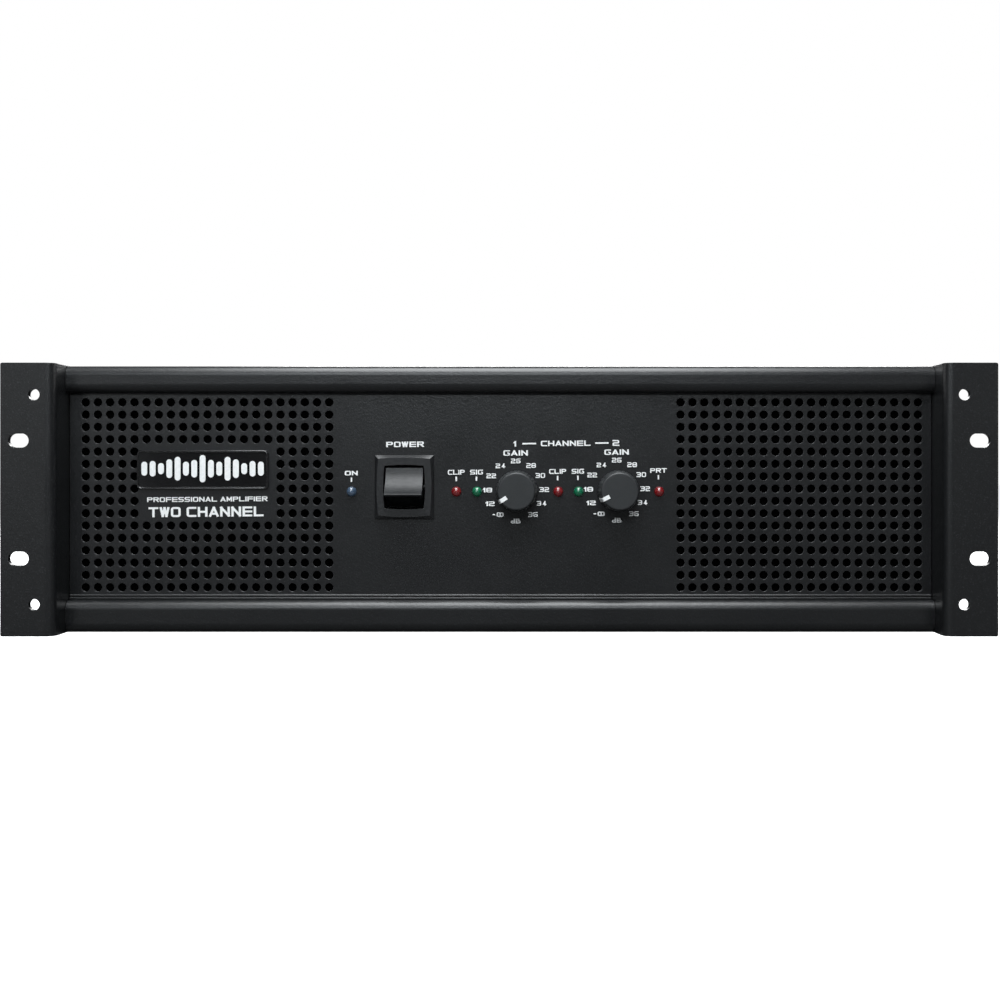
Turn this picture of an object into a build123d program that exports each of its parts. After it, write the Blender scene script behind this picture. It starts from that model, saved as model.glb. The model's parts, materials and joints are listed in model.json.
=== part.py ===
from build123d import *
from math import cos, radians, sin
import os

# Three-unit rack-mount power amplifier with two channels, in millimetres.
# X runs to the right seen from the front, Y towards the rear and Z up. The origin is the centre
# of the four rack slots, on the plane where the ears meet the rack rails.

os.makedirs("parts", exist_ok=True)

# Rack interface
RACK_WIDTH = 482.6
EAR_HEIGHT = 132.5
EAR_SHEET = 3.2
EAR_DEPTH = 78.0
SLOT_SPACING_X = 465.1
SLOT_SPACING_Z = 57.15
SLOT_LENGTH = 10.0
SLOT_WIDTH = 6.8
HANDLE_SPACING_X = 450.0
HANDLE_SPACING_Z = 101.6
HANDLE_HOLE_RADIUS = 2.75

# Case
SHEET = 1.6
BEND = 3.0
BAR_BEND = 4.6
EAR_WALL_X = 215.4
CASE_HALF_WIDTH = 215.3
CASE_TOP = 66.0
CASE_BOTTOM = -EAR_HEIGHT / 2
BAR_Y = 12.3
PANEL_Y = 18.3
PANEL_BACK_Y = PANEL_Y + SHEET
WALL_START_Y = PANEL_BACK_Y + 0.2
REAR_PANEL_Y = 382.4
CASE_REAR_Y = REAR_PANEL_Y + SHEET
UPPER_BAR_BOTTOM = 52.5
LOWER_BAR_TOP = -50.3
BEAD_RADIUS = 0.45
BEAD_ZS = (-48.3, -49.7)
FLOOR_Z = CASE_BOTTOM + SHEET
LID_Z = CASE_TOP - SHEET
FLANGE = 16.0
EAR_BEND = 4.4
EAR_CORNER = 1.0
EAR_LEG_STEP = 8.0
EAR_LEG_FULL_Y = 24.0

# Front grilles
ROW_PITCH = 6.16
HOLE_RADIUS = 2.1
GRILLE_COLUMNS = 21
GRILLE_ROWS = 16
LEFT_GRILLE_X = -207.2
LEFT_COLUMN_PITCH = 6.08
RIGHT_GRILLE_X = 208.5
RIGHT_COLUMN_PITCH = 5.93
GRILLE_TOP_Z = 48.15

# Front panel fittings
BADGE_CENTRE = (-148.5, 14.5)
BADGE_WIDTH = 65.4
BADGE_HEIGHT = 19.4
SWITCH_CENTRE = (-48.0, 5.8)
BEZEL_WIDTH = 29.5
BEZEL_HEIGHT = 32.0
APERTURE_HALF = (9.7, 10.6)
APERTURE_BULGE = (0.7, 0.45)
ROCKER_WIDTH = 18.6
ROCKER_TILT = 17.0
LED_Z = 3.6
POWER_LED_X = -74.4
RED_LED_X = (-22.1, 28.8, 79.2)
GREEN_LED_X = (-11.7, 39.0)
LED_RADIUS = 2.5
KNOB_CENTRES = ((8.1, 3.8), (58.8, 3.8))
POINTER_ANGLES = (-122.0, -116.0)
KNOB_RADIUS = 9.3
KNOB_BASE_RADIUS = 10.4
KNOB_FRONT_Y = PANEL_Y - 14.6
KNOB_BACK_Y = PANEL_Y - 0.8
SHAFT_RADIUS = 3.0
SHAFT_CLEARANCE = 0.05

# Inside
BOARD_THICKNESS = 1.6
CONTROL_BOARD_Y = PANEL_BACK_Y + 10.4
TOROID_CENTRE = (0.0, 150.0)
TOROID_RADIUS = 78.0
TOROID_HEIGHT = 84.0
PAD_THICKNESS = 2.6
STUD_RADIUS = 4.0
SUPPLY_BOARD_Z = -56.0
SUPPLY_BOARD_Y = 287.0
HEATSINK_X = 98.0
HEATSINK_START_Y = 66.0
HEATSINK_LENGTH = 186.0
AMPLIFIER_BOARD_X = 82.0
TRANSISTOR_THICKNESS = 4.8

# Rear
FAN_X = 148.0
FAN_SIZE = 80.0
FAN_DEPTH = 25.0
FAN_SCREW_OFFSET = 35.75
FAN_BORE = 38.0
FAN_FRONT_Y = REAR_PANEL_Y - FAN_DEPTH
FAN_SCREW_RADIUS = 1.95
XLR_CENTRES = ((45.0, 34.0), (80.0, 34.0))
JACK_CENTRES = ((45.0, 4.0), (80.0, 4.0))
MODE_SWITCH_CENTRE = (62.5, -24.0)
SPEAKER_CENTRES = ((-45.0, 20.0), (-80.0, 20.0))
INLET_CENTRE = (0.0, -30.0)
GROUND_CENTRE = (-62.5, -24.0)
INPUT_BOARD_Y = 355.0


def finish(piece, name):
    """Labels a finished sub-part and writes it."""
    piece.part.label = name
    export_step(piece.part, f"parts/{name}.step")


def facing(depth):
    """Plane at a depth, facing the front, with X to the right and Z up."""
    return Plane.XZ.offset(-depth)


def corners_of_square(centre, offset):
    """The four corners of a square with the given centre and half side."""
    return [(centre[0] + i * offset, centre[1] + k * offset) for i in (-1, 1) for k in (-1, 1)]


def flat_screw(head_radius, shank_radius, length):
    """Countersunk screw with its head flush at Z = 0 and its shank down to -length."""
    with BuildPart() as screw:
        with BuildSketch(Plane.XZ):
            with BuildLine():
                Polyline(
                    (0, 0),
                    (head_radius, 0),
                    (shank_radius, shank_radius - head_radius),
                    (shank_radius, -length),
                    (0, -length),
                    close=True,
                )
            make_face()
        revolve(axis=Axis.Z)
        with BuildSketch():
            Rectangle(head_radius * 1.1, head_radius * 0.25)
            Rectangle(head_radius * 0.25, head_radius * 1.1)
        extrude(amount=-head_radius * 0.35, mode=Mode.SUBTRACT)
    return screw.part


def pan_screw(head_radius, shank_radius, length):
    """Pan-head screw with the underside of its head at Z = 0 and its shank down to -length."""
    head_height = head_radius * 0.65
    with BuildPart() as screw:
        Cylinder(head_radius, head_height, align=(Align.CENTER, Align.CENTER, Align.MIN))
        fillet(screw.edges().group_by(Axis.Z)[-1], head_height * 0.6)
        Cylinder(shank_radius, length, align=(Align.CENTER, Align.CENTER, Align.MAX))
        with BuildSketch(Plane.XY.offset(head_height)):
            Rectangle(head_radius * 0.95, head_radius * 0.22)
            Rectangle(head_radius * 0.22, head_radius * 0.95)
        extrude(amount=-head_height * 0.6, mode=Mode.SUBTRACT)
    return screw.part


# ---- Case -------------------------------------------------------------------------------------

COVER_SCREW_X = CASE_HALF_WIDTH - 8.0
COVER_SCREW_YS = (45.0, 125.0, 205.0, 285.0, 365.0)
REAR_COVER_SCREW_XS = (-110.0, 0.0, 110.0)
REAR_COVER_SCREW_Y = 374.0
COVER_SCREWS = [(i * COVER_SCREW_X, y) for i in (-1, 1) for y in COVER_SCREW_YS]
COVER_SCREWS += [(x, REAR_COVER_SCREW_Y) for x in REAR_COVER_SCREW_XS]
COVER_SCREW_HEAD = 2.9
COVER_SCREW_SHANK = 1.45
EAR_SCREW_PLACES = [(y, z) for y in (40.0, 64.0) for z in (-42.0, 42.0)]
EAR_SCREW_SHANK = 2.45
SUPPORT_SCREW_PLACES = [(y, z) for y in (360.0, 374.0) for z in (-16.0, 16.0)]
SUPPORT_SHEET = 3.0
SUPPORT_START_Y = 350.0
SUPPORT_HALF_HEIGHT = 25.0
SUPPORT_HOLE_RADIUS = 3.4
SUPPORT_TAIL_Y = 403.0
SUPPORT_HOLE_Y = 394.0
SUPPORT_HOLE_SPACING = 31.75

with BuildPart() as chassis_tray:
    # Floor, side walls and the narrow flanges that carry the cover
    with BuildSketch(facing(WALL_START_Y)):
        with BuildLine():
            wall = CASE_HALF_WIDTH - SHEET / 2
            flange_z = LID_Z - SHEET / 2
            floor_z = CASE_BOTTOM + SHEET / 2
            FilletPolyline(
                (FLANGE - CASE_HALF_WIDTH, flange_z),
                (-wall, flange_z),
                (-wall, floor_z),
                (wall, floor_z),
                (wall, flange_z),
                (CASE_HALF_WIDTH - FLANGE, flange_z),
                radius=BEND - SHEET / 2,
            )
        trace(line_width=SHEET)
    extrude(amount=-(REAR_PANEL_Y - WALL_START_Y))
    # Lower front bar, rolled up from the floor and back towards the panel
    with BuildSketch(Plane.YZ):
        with BuildLine():
            FilletPolyline(
                (WALL_START_Y + 0.1, CASE_BOTTOM + SHEET / 2),
                (BAR_Y + SHEET / 2, CASE_BOTTOM + SHEET / 2),
                (BAR_Y + SHEET / 2, LOWER_BAR_TOP - SHEET / 2),
                (PANEL_Y - 0.1, LOWER_BAR_TOP - SHEET / 2),
                radius=BAR_BEND - SHEET / 2,
            )
        trace(line_width=SHEET)
    extrude(amount=CASE_HALF_WIDTH, both=True)
    with BuildSketch(Plane.YZ):
        with Locations(*EAR_SCREW_PLACES, *SUPPORT_SCREW_PLACES):
            Circle(EAR_SCREW_SHANK + SHAFT_CLEARANCE)
    extrude(amount=RACK_WIDTH / 2, both=True, mode=Mode.SUBTRACT)
    with BuildSketch(Plane.XY.offset(LID_Z)):
        with Locations(*COVER_SCREWS[: 2 * len(COVER_SCREW_YS)]):
            Circle(COVER_SCREW_SHANK + SHAFT_CLEARANCE)
    extrude(amount=-2 * SHEET, mode=Mode.SUBTRACT)
    with BuildSketch(Plane.XY.offset(CASE_BOTTOM)):
        with Locations(TOROID_CENTRE):
            Circle(STUD_RADIUS + SHAFT_CLEARANCE)
    extrude(amount=SHEET, mode=Mode.SUBTRACT)
finish(chassis_tray, "chassis_tray")

with BuildPart() as top_cover:
    with BuildSketch(Plane.YZ):
        with BuildLine():
            FilletPolyline(
                (CASE_REAR_Y, CASE_TOP - SHEET / 2),
                (BAR_Y + SHEET / 2, CASE_TOP - SHEET / 2),
                (BAR_Y + SHEET / 2, UPPER_BAR_BOTTOM + SHEET / 2),
                (PANEL_Y - 0.1, UPPER_BAR_BOTTOM + SHEET / 2),
                radius=BAR_BEND - SHEET / 2,
            )
        trace(line_width=SHEET)
    extrude(amount=CASE_HALF_WIDTH, both=True)
    with Locations(Plane.XY.offset(CASE_TOP)):
        with Locations(*COVER_SCREWS):
            CounterSinkHole(
                radius=COVER_SCREW_SHANK + SHAFT_CLEARANCE,
                counter_sink_radius=COVER_SCREW_HEAD + SHAFT_CLEARANCE,
                depth=2 * SHEET,
                counter_sink_angle=90,
            )
finish(top_cover, "top_cover")

cover_screw = flat_screw(COVER_SCREW_HEAD, COVER_SCREW_SHANK, 7.0)
with BuildPart() as cover_screws:
    with Locations(*[(x, y, CASE_TOP) for x, y in COVER_SCREWS]):
        add(cover_screw)
finish(cover_screws, "cover_screws")


def rack_ear(side):
    """Thick bent ear with its slots and handle holes, on the side -1 or 1."""
    with BuildPart() as ear:
        with BuildSketch(Plane.XY.offset(CASE_BOTTOM)):
            with BuildLine():
                FilletPolyline(
                    (side * RACK_WIDTH / 2, -EAR_SHEET / 2),
                    (side * (EAR_WALL_X + EAR_SHEET / 2), -EAR_SHEET / 2),
                    (side * (EAR_WALL_X + EAR_SHEET / 2), EAR_DEPTH),
                    radius=EAR_BEND - EAR_SHEET / 2,
                )
            trace(line_width=EAR_SHEET)
        extrude(amount=EAR_HEIGHT)
        outer = ear.edges().filter_by(Axis.Y).group_by(SortBy.LENGTH)[0]
        fillet(outer.filter_by(lambda edge: abs(edge.center().X) > RACK_WIDTH / 2 - 1), EAR_CORNER)
        # The leg along the case is lower than the face, with sloping ends
        with BuildSketch(Plane.YZ):
            for end in (-1, 1):
                with BuildLine():
                    Polyline(
                        (EAR_LEG_FULL_Y, end * EAR_HEIGHT),
                        (EAR_LEG_FULL_Y, end * EAR_HEIGHT / 2),
                        (EAR_LEG_FULL_Y + EAR_LEG_STEP, end * (EAR_HEIGHT / 2 - EAR_LEG_STEP)),
                        (EAR_DEPTH + 1, end * (EAR_HEIGHT / 2 - EAR_LEG_STEP)),
                        (EAR_DEPTH + 1, end * EAR_HEIGHT),
                        close=True,
                    )
                make_face()
        extrude(amount=side * RACK_WIDTH, mode=Mode.SUBTRACT)
        with BuildSketch(facing(-EAR_SHEET)):
            with Locations(*[(side * SLOT_SPACING_X / 2, i * SLOT_SPACING_Z / 2) for i in (-1, 1)]):
                SlotOverall(SLOT_LENGTH, SLOT_WIDTH)
            with Locations(*[(side * HANDLE_SPACING_X / 2, i * HANDLE_SPACING_Z / 2) for i in (-1, 1)]):
                Circle(HANDLE_HOLE_RADIUS)
        extrude(amount=-EAR_SHEET, mode=Mode.SUBTRACT)
        outside = Plane(
            origin=(side * (EAR_WALL_X + EAR_SHEET), 0, 0), x_dir=(0, 1, 0), z_dir=(side, 0, 0)
        )
        with Locations(outside):
            with Locations(*[(y, side * z) for y, z in EAR_SCREW_PLACES]):
                CounterSinkHole(
                    radius=EAR_SCREW_SHANK + SHAFT_CLEARANCE,
                    counter_sink_radius=4.75,
                    depth=2 * EAR_SHEET,
                    counter_sink_angle=90,
                )
    return ear


finish(rack_ear(-1), "rack_ear_left")
finish(rack_ear(1), "rack_ear_right")


def side_places(places, x):
    """Places on both sides of the case, each turned so that its Z axis points outwards."""
    return [
        Location(Plane(origin=(side * x, y, z), x_dir=(0, 1, 0), z_dir=(side, 0, 0)))
        for side in (-1, 1)
        for y, z in places
    ]


ear_screw = flat_screw(4.7, EAR_SCREW_SHANK, 9.0)
with BuildPart() as ear_screws:
    with Locations(*side_places(EAR_SCREW_PLACES, EAR_WALL_X + EAR_SHEET)):
        add(ear_screw)
finish(ear_screws, "ear_screws")

# Brackets that reach past the rear panel to a rear rack rail
with BuildPart() as rear_supports:
    for side in (-1, 1):
        with BuildSketch(Plane.YZ.offset(side * CASE_HALF_WIDTH)):
            with BuildLine():
                FilletPolyline(
                    (SUPPORT_START_Y, -SUPPORT_HALF_HEIGHT),
                    (SUPPORT_TAIL_Y, -SUPPORT_HALF_HEIGHT),
                    (SUPPORT_TAIL_Y, SUPPORT_HALF_HEIGHT),
                    (SUPPORT_START_Y, SUPPORT_HALF_HEIGHT),
                    radius=4.0,
                    close=True,
                )
            make_face()
            with Locations(*SUPPORT_SCREW_PLACES):
                Circle(EAR_SCREW_SHANK + SHAFT_CLEARANCE, mode=Mode.SUBTRACT)
            with Locations(*[(SUPPORT_HOLE_Y, i * SUPPORT_HOLE_SPACING / 2) for i in (-1, 1)]):
                Circle(SUPPORT_HOLE_RADIUS, mode=Mode.SUBTRACT)
        extrude(amount=side * SUPPORT_SHEET)
finish(rear_supports, "rear_supports")

support_screw = pan_screw(4.5, EAR_SCREW_SHANK, 10.0)
with BuildPart() as support_screws:
    with Locations(*side_places(SUPPORT_SCREW_PLACES, CASE_HALF_WIDTH + SUPPORT_SHEET)):
        add(support_screw)
finish(support_screws, "support_screws")


# ---- Front panel ------------------------------------------------------------------------------


def grille_holes():
    """Centres of both grilles' holes, leaving out the field around the badge."""
    holes = []
    for column in range(GRILLE_COLUMNS):
        for row in range(GRILLE_ROWS):
            z = GRILLE_TOP_Z - row * ROW_PITCH
            holes.append((RIGHT_GRILLE_X - column * RIGHT_COLUMN_PITCH, z))
            if not (5 <= column <= 15 and 4 <= row <= 9):
                holes.append((LEFT_GRILLE_X + column * LEFT_COLUMN_PITCH, z))
    return holes


with BuildPart() as front_panel:
    with BuildSketch(facing(PANEL_Y)):
        Rectangle(2 * CASE_HALF_WIDTH - 0.4, LID_Z - FLOOR_Z - 0.3)
        with Locations(*grille_holes()):
            Circle(HOLE_RADIUS, mode=Mode.SUBTRACT)
        with Locations(SWITCH_CENTRE):
            Rectangle(BEZEL_WIDTH - 3.0, BEZEL_HEIGHT - 3.0, mode=Mode.SUBTRACT)
        with Locations(*KNOB_CENTRES):
            Circle(3.65, mode=Mode.SUBTRACT)
        with Locations(*[(x, LED_Z) for x in (POWER_LED_X, *RED_LED_X, *GREEN_LED_X)]):
            Circle(LED_RADIUS + SHAFT_CLEARANCE, mode=Mode.SUBTRACT)
    extrude(amount=-SHEET)
    # Two narrow beads along the lower edge, just above the tray's bar
    with BuildSketch(Plane.YZ):
        with Locations(*[(PANEL_Y, z) for z in BEAD_ZS]):
            Circle(BEAD_RADIUS)
    extrude(amount=CASE_HALF_WIDTH - 0.2, both=True)
finish(front_panel, "front_panel")

# Foam dust filters, one behind each grille
FILTER_HALF_WIDTH = 63.0
FILTER_HALF_HEIGHT = 48.3
with BuildPart() as grille_filters:
    with BuildSketch(facing(PANEL_BACK_Y)):
        with Locations((-146.4, 2.0), (148.8, 2.0)):
            RectangleRounded(2 * FILTER_HALF_WIDTH, 2 * FILTER_HALF_HEIGHT, 3.0)
    extrude(amount=-2.5)
finish(grille_filters, "grille_filters")

# Angle brackets that hold the panel to the floor and to the cover
BRACKET_XS = (-150.0, -55.0, 55.0, 150.0)
BRACKET_LEG = 14.0
with BuildPart() as panel_brackets:
    for base, up in ((FLOOR_Z, 1), (LID_Z, -1)):
        with BuildSketch(Plane.YZ):
            with BuildLine():
                Polyline(
                    (PANEL_BACK_Y, base),
                    (PANEL_BACK_Y + BRACKET_LEG, base),
                    (PANEL_BACK_Y + BRACKET_LEG, base + up * SHEET),
                    (PANEL_BACK_Y + SHEET, base + up * SHEET),
                    (PANEL_BACK_Y + SHEET, base + up * BRACKET_LEG),
                    (PANEL_BACK_Y, base + up * BRACKET_LEG),
                    close=True,
                )
            make_face()
        angle = extrude(amount=10.0, both=True, mode=Mode.PRIVATE)
        with Locations(*[(x, 0, 0) for x in BRACKET_XS]):
            add(angle)
finish(panel_brackets, "panel_brackets")

BADGE_THICKNESS = 1.5
BADGE_RIM = 0.8
BADGE_CORNER = 1.6
with BuildPart() as badge_plate:
    with BuildSketch(facing(PANEL_Y)):
        with Locations(BADGE_CENTRE):
            RectangleRounded(BADGE_WIDTH, BADGE_HEIGHT, BADGE_CORNER)
    extrude(amount=BADGE_THICKNESS)
    chamfer(badge_plate.edges().group_by(Axis.Y)[0], 0.35)
    with BuildSketch(facing(PANEL_Y - BADGE_THICKNESS)):
        with Locations(BADGE_CENTRE):
            RectangleRounded(BADGE_WIDTH - 2 * BADGE_RIM, BADGE_HEIGHT - 2 * BADGE_RIM, BADGE_CORNER / 2)
    extrude(amount=-0.4, mode=Mode.SUBTRACT)
finish(badge_plate, "badge_plate")

# ---- Power switch -----------------------------------------------------------------------------

BEZEL_PROUD = 2.2
BEZEL_EDGE = 0.6
BEZEL_BEVEL = 1.9
BEZEL_STRAIGHT = (0.01, 0.01)
BEZEL_FACE = (BEZEL_WIDTH / 2 - BEZEL_BEVEL, BEZEL_HEIGHT / 2 - BEZEL_BEVEL)
BEZEL_BULGE = (0.85, 0.85)
BEZEL_Y = PANEL_Y - BEZEL_PROUD
ROCKER_PIVOT_Y = BEZEL_Y + 5.5
ROCKER_RIDGE = 13.5
ROCKER_TIP = (0.3, 10.2)
ROCKER_BACK = (-2.6, 9.9)
ROCKER_HOLLOW = (5.2, 4.3)
ROCKER_EDGE = 0.55
ROCKER_BACK_DEPTH = 6.5
PIN_REACH = 2.6
ROCKER_PIN_RADIUS = 1.5
SWITCH_BODY_REAR_Y = PANEL_Y + 28.0
CAVITY_DEPTH = 17.0



def bowed_frame(centre, half, bulge):
    """Rectangle with the given half sizes, whose sides and ends bow outwards."""
    x, z = centre
    right, top = half
    corners = [(x - right, z - top), (x + right, z - top), (x + right, z + top), (x - right, z + top)]
    middles = [(x, z - top - bulge[1]), (x + right + bulge[0], z)]
    middles += [(x, z + top + bulge[1]), (x - right - bulge[0], z)]
    with BuildSketch() as frame:
        with BuildLine():
            for i in range(4):
                ThreePointArc(corners[i], middles[i], corners[(i + 1) % 4])
        make_face()
    return frame.sketch


with BuildPart() as power_switch_body:
    # Bezel with a mitred bevel around its bowed face
    with BuildSketch(facing(PANEL_Y)):
        with Locations(SWITCH_CENTRE):
            Rectangle(BEZEL_WIDTH, BEZEL_HEIGHT)
    extrude(amount=BEZEL_EDGE)
    with BuildSketch(facing(PANEL_Y - BEZEL_EDGE)):
        add(bowed_frame(SWITCH_CENTRE, (BEZEL_WIDTH / 2, BEZEL_HEIGHT / 2), BEZEL_STRAIGHT))
    with BuildSketch(facing(BEZEL_Y)):
        add(bowed_frame(SWITCH_CENTRE, BEZEL_FACE, BEZEL_BULGE))
    loft()
    with BuildSketch(facing(PANEL_Y)):
        with Locations(SWITCH_CENTRE):
            Rectangle(BEZEL_WIDTH - 3.4, BEZEL_HEIGHT - 3.4)
    extrude(amount=-(SWITCH_BODY_REAR_Y - PANEL_Y))
    with BuildSketch(facing(BEZEL_Y)):
        add(bowed_frame(SWITCH_CENTRE, APERTURE_HALF, APERTURE_BULGE))
    extrude(amount=-CAVITY_DEPTH, mode=Mode.SUBTRACT)
    # Blind holes for the rocker's pins
    with Locations((SWITCH_CENTRE[0], ROCKER_PIVOT_Y, SWITCH_CENTRE[1])):
        Cylinder(
            ROCKER_PIN_RADIUS + SHAFT_CLEARANCE,
            ROCKER_WIDTH + 2 * PIN_REACH + 0.4,
            rotation=(0, 90, 0),
            mode=Mode.SUBTRACT,
        )
finish(power_switch_body, "power_switch_body")

# The rocker is drawn level and tilted about its pins, pressed in at the bottom
tilt = radians(ROCKER_TILT)
rocker_plane = Plane(
    origin=(SWITCH_CENTRE[0], ROCKER_PIVOT_Y, SWITCH_CENTRE[1]),
    x_dir=(0, -cos(tilt), -sin(tilt)),
    z_dir=(-1, 0, 0),
)
with BuildPart() as power_rocker:
    with BuildSketch(rocker_plane):
        with BuildLine():
            for way in (-1, 1):
                front_tip = (ROCKER_TIP[0], way * ROCKER_TIP[1])
                back_tip = (ROCKER_BACK[0], way * ROCKER_BACK[1])
                hollow = (ROCKER_HOLLOW[0], way * ROCKER_HOLLOW[1])
                ThreePointArc((ROCKER_RIDGE, way * ROCKER_EDGE), hollow, front_tip)
                Line(front_tip, back_tip)
            Line((ROCKER_RIDGE, -ROCKER_EDGE), (ROCKER_RIDGE, ROCKER_EDGE))
            back_low = (ROCKER_BACK[0], -ROCKER_BACK[1])
            ThreePointArc(back_low, (-ROCKER_BACK_DEPTH, 0), ROCKER_BACK)
        make_face()
    extrude(amount=ROCKER_WIDTH / 2, both=True)
    ridge = power_rocker.edges().filter_by(Axis.X).sort_by(Axis.Y)[:2]
    fillet(ridge, ROCKER_EDGE * 0.8)
    with Locations((SWITCH_CENTRE[0], ROCKER_PIVOT_Y, SWITCH_CENTRE[1])):
        Cylinder(ROCKER_PIN_RADIUS, ROCKER_WIDTH + 2 * PIN_REACH, rotation=(0, 90, 0))
finish(power_rocker, "power_rocker")

with BuildPart() as switch_terminals:
    with BuildSketch(facing(SWITCH_BODY_REAR_Y)):
        with Locations(SWITCH_CENTRE):
            with GridLocations(12.0, 14.0, 2, 2):
                Rectangle(6.3, 0.8)
    extrude(amount=-9.0)
finish(switch_terminals, "switch_terminals")

# ---- Gain controls ----------------------------------------------------------------------------

POT_FRONT_Y = PANEL_BACK_Y + 0.7
BUSHING_RADIUS = 3.5
BUSHING_FRONT_Y = PANEL_Y - 4.5
SHAFT_REAR_Y = CONTROL_BOARD_Y - 0.8
SHAFT_FRONT_Y = KNOB_FRONT_Y + 2.6
KNOB_RIM = 0.9
KNOB_RIM_Y = KNOB_FRONT_Y + KNOB_RIM + 0.3
KNOB_RIM_STEP = 0.06
POINTER_INNER = 5.6
POINTER_DEPTH = 11.5
FLUTE_COUNT = 32
FLUTE_RADIUS = 0.62
FLUTE_OFFSET = 0.42

with BuildPart() as potentiometers:
    with BuildSketch(facing(POT_FRONT_Y)):
        with Locations(*KNOB_CENTRES):
            RectangleRounded(16.5, 18.0, 1.0)
    extrude(amount=-(CONTROL_BOARD_Y - POT_FRONT_Y))
    with BuildSketch(facing(POT_FRONT_Y)):
        with Locations(*KNOB_CENTRES):
            Circle(BUSHING_RADIUS)
    extrude(amount=POT_FRONT_Y - BUSHING_FRONT_Y)
    with BuildSketch(facing(BUSHING_FRONT_Y)):
        with Locations(*KNOB_CENTRES):
            Circle(SHAFT_RADIUS + SHAFT_CLEARANCE)
    extrude(amount=-(SHAFT_REAR_Y + 0.3 - BUSHING_FRONT_Y), mode=Mode.SUBTRACT)
finish(potentiometers, "potentiometers")

with BuildPart() as pot_nuts:
    with BuildSketch(facing(PANEL_Y)):
        with Locations(*KNOB_CENTRES):
            RegularPolygon(6.3, 6)
            Circle(BUSHING_RADIUS + SHAFT_CLEARANCE, mode=Mode.SUBTRACT)
    extrude(amount=2.2)
finish(pot_nuts, "pot_nuts")


def pot_shaft(centre):
    """Round shaft of one potentiometer."""
    with BuildPart() as shaft:
        with BuildSketch(facing(SHAFT_REAR_Y)):
            with Locations(centre):
                Circle(SHAFT_RADIUS)
        extrude(amount=SHAFT_REAR_Y - SHAFT_FRONT_Y)
        chamfer(shaft.edges().group_by(Axis.Y)[0], 0.4)
    return shaft


def knob_pointer(centre, angle):
    """White line laid into the knob, over its rim, at an angle clockwise from the top."""
    turn = radians(angle)
    radial = Plane(
        origin=(centre[0], 0, centre[1]),
        x_dir=(sin(turn), 0, cos(turn)),
        z_dir=(cos(turn), 0, -sin(turn)),
    )
    with BuildPart() as pointer:
        with BuildSketch(radial):
            with BuildLine():
                FilletPolyline(
                    (POINTER_INNER, -KNOB_FRONT_Y - 0.15),
                    (KNOB_RADIUS - 0.1, -KNOB_FRONT_Y - 0.15),
                    (KNOB_BASE_RADIUS - 0.3, -KNOB_FRONT_Y - POINTER_DEPTH),
                    radius=0.7,
                )
            trace(line_width=0.6)
        extrude(amount=1.0, both=True)
    return pointer


def gain_knob(centre, angle, pointer):
    """Fluted knob that narrows to a rounded front rim, hollow behind for the nut."""
    with BuildPart() as knob:
        # One of the flutes is under the pointer
        for depth, radius in ((KNOB_BACK_Y, KNOB_BASE_RADIUS), (KNOB_RIM_Y, KNOB_RADIUS)):
            with BuildSketch(facing(depth)):
                with Locations(centre):
                    Circle(radius)
                    with PolarLocations(radius + FLUTE_OFFSET, FLUTE_COUNT, start_angle=90 - angle):
                        Circle(FLUTE_RADIUS, mode=Mode.SUBTRACT)
        loft(ruled=True)
        with BuildSketch(facing(KNOB_RIM_Y)):
            with Locations(centre):
                Circle(KNOB_RADIUS + KNOB_RIM_STEP)
        extrude(amount=KNOB_RIM_Y - KNOB_FRONT_Y)
        fillet(knob.edges().group_by(Axis.Y)[0], KNOB_RIM)
        with BuildSketch(facing(KNOB_BACK_Y)):
            with Locations(centre):
                Circle(7.0)
        extrude(amount=4.6, mode=Mode.SUBTRACT)
        with BuildSketch(facing(KNOB_BACK_Y)):
            with Locations(centre):
                Circle(SHAFT_RADIUS + 0.02)
        extrude(amount=KNOB_BACK_Y - SHAFT_FRONT_Y + 0.2, mode=Mode.SUBTRACT)
        add(pointer.part, mode=Mode.SUBTRACT)
    return knob


for number, (centre, angle) in enumerate(zip(KNOB_CENTRES, POINTER_ANGLES), 1):
    pointer = knob_pointer(centre, angle)
    finish(pointer, f"knob_pointer_{number}")
    finish(gain_knob(centre, angle, pointer), f"gain_knob_{number}")
    finish(pot_shaft(centre), f"pot_shaft_{number}")

# ---- Indicators and control board -------------------------------------------------------------


def indicators(places):
    """Domed 5 mm LEDs with a flange behind the panel, at the given X positions."""
    with BuildPart() as leds:
        with BuildSketch(facing(PANEL_Y - 0.3)):
            with Locations(*[(x, LED_Z) for x in places]):
                Circle(LED_RADIUS)
        extrude(amount=-(SHEET + 6.0))
        with BuildSketch(facing(PANEL_BACK_Y + 0.2)):
            with Locations(*[(x, LED_Z) for x in places]):
                Circle(LED_RADIUS + 0.4)
        extrude(amount=-1.0)
        with Locations(*[(x, PANEL_Y - 0.3, LED_Z) for x in places]):
            Sphere(
                LED_RADIUS - 0.02,
                arc_size1=0,
                rotation=(90, 0, 0),
                align=(Align.CENTER, Align.CENTER, Align.MIN),
            )
    return leds


finish(indicators((POWER_LED_X,)), "led_power")
finish(indicators(RED_LED_X), "leds_red")
finish(indicators(GREEN_LED_X), "leds_green")

with BuildPart() as control_board:
    with BuildSketch(facing(CONTROL_BOARD_Y)):
        with Locations((1.0, 3.0)):
            Rectangle(170.0, 54.0)
        with Locations(SWITCH_CENTRE):
            Rectangle(BEZEL_WIDTH, BEZEL_HEIGHT, mode=Mode.SUBTRACT)
    extrude(amount=-BOARD_THICKNESS)
finish(control_board, "control_board")

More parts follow.
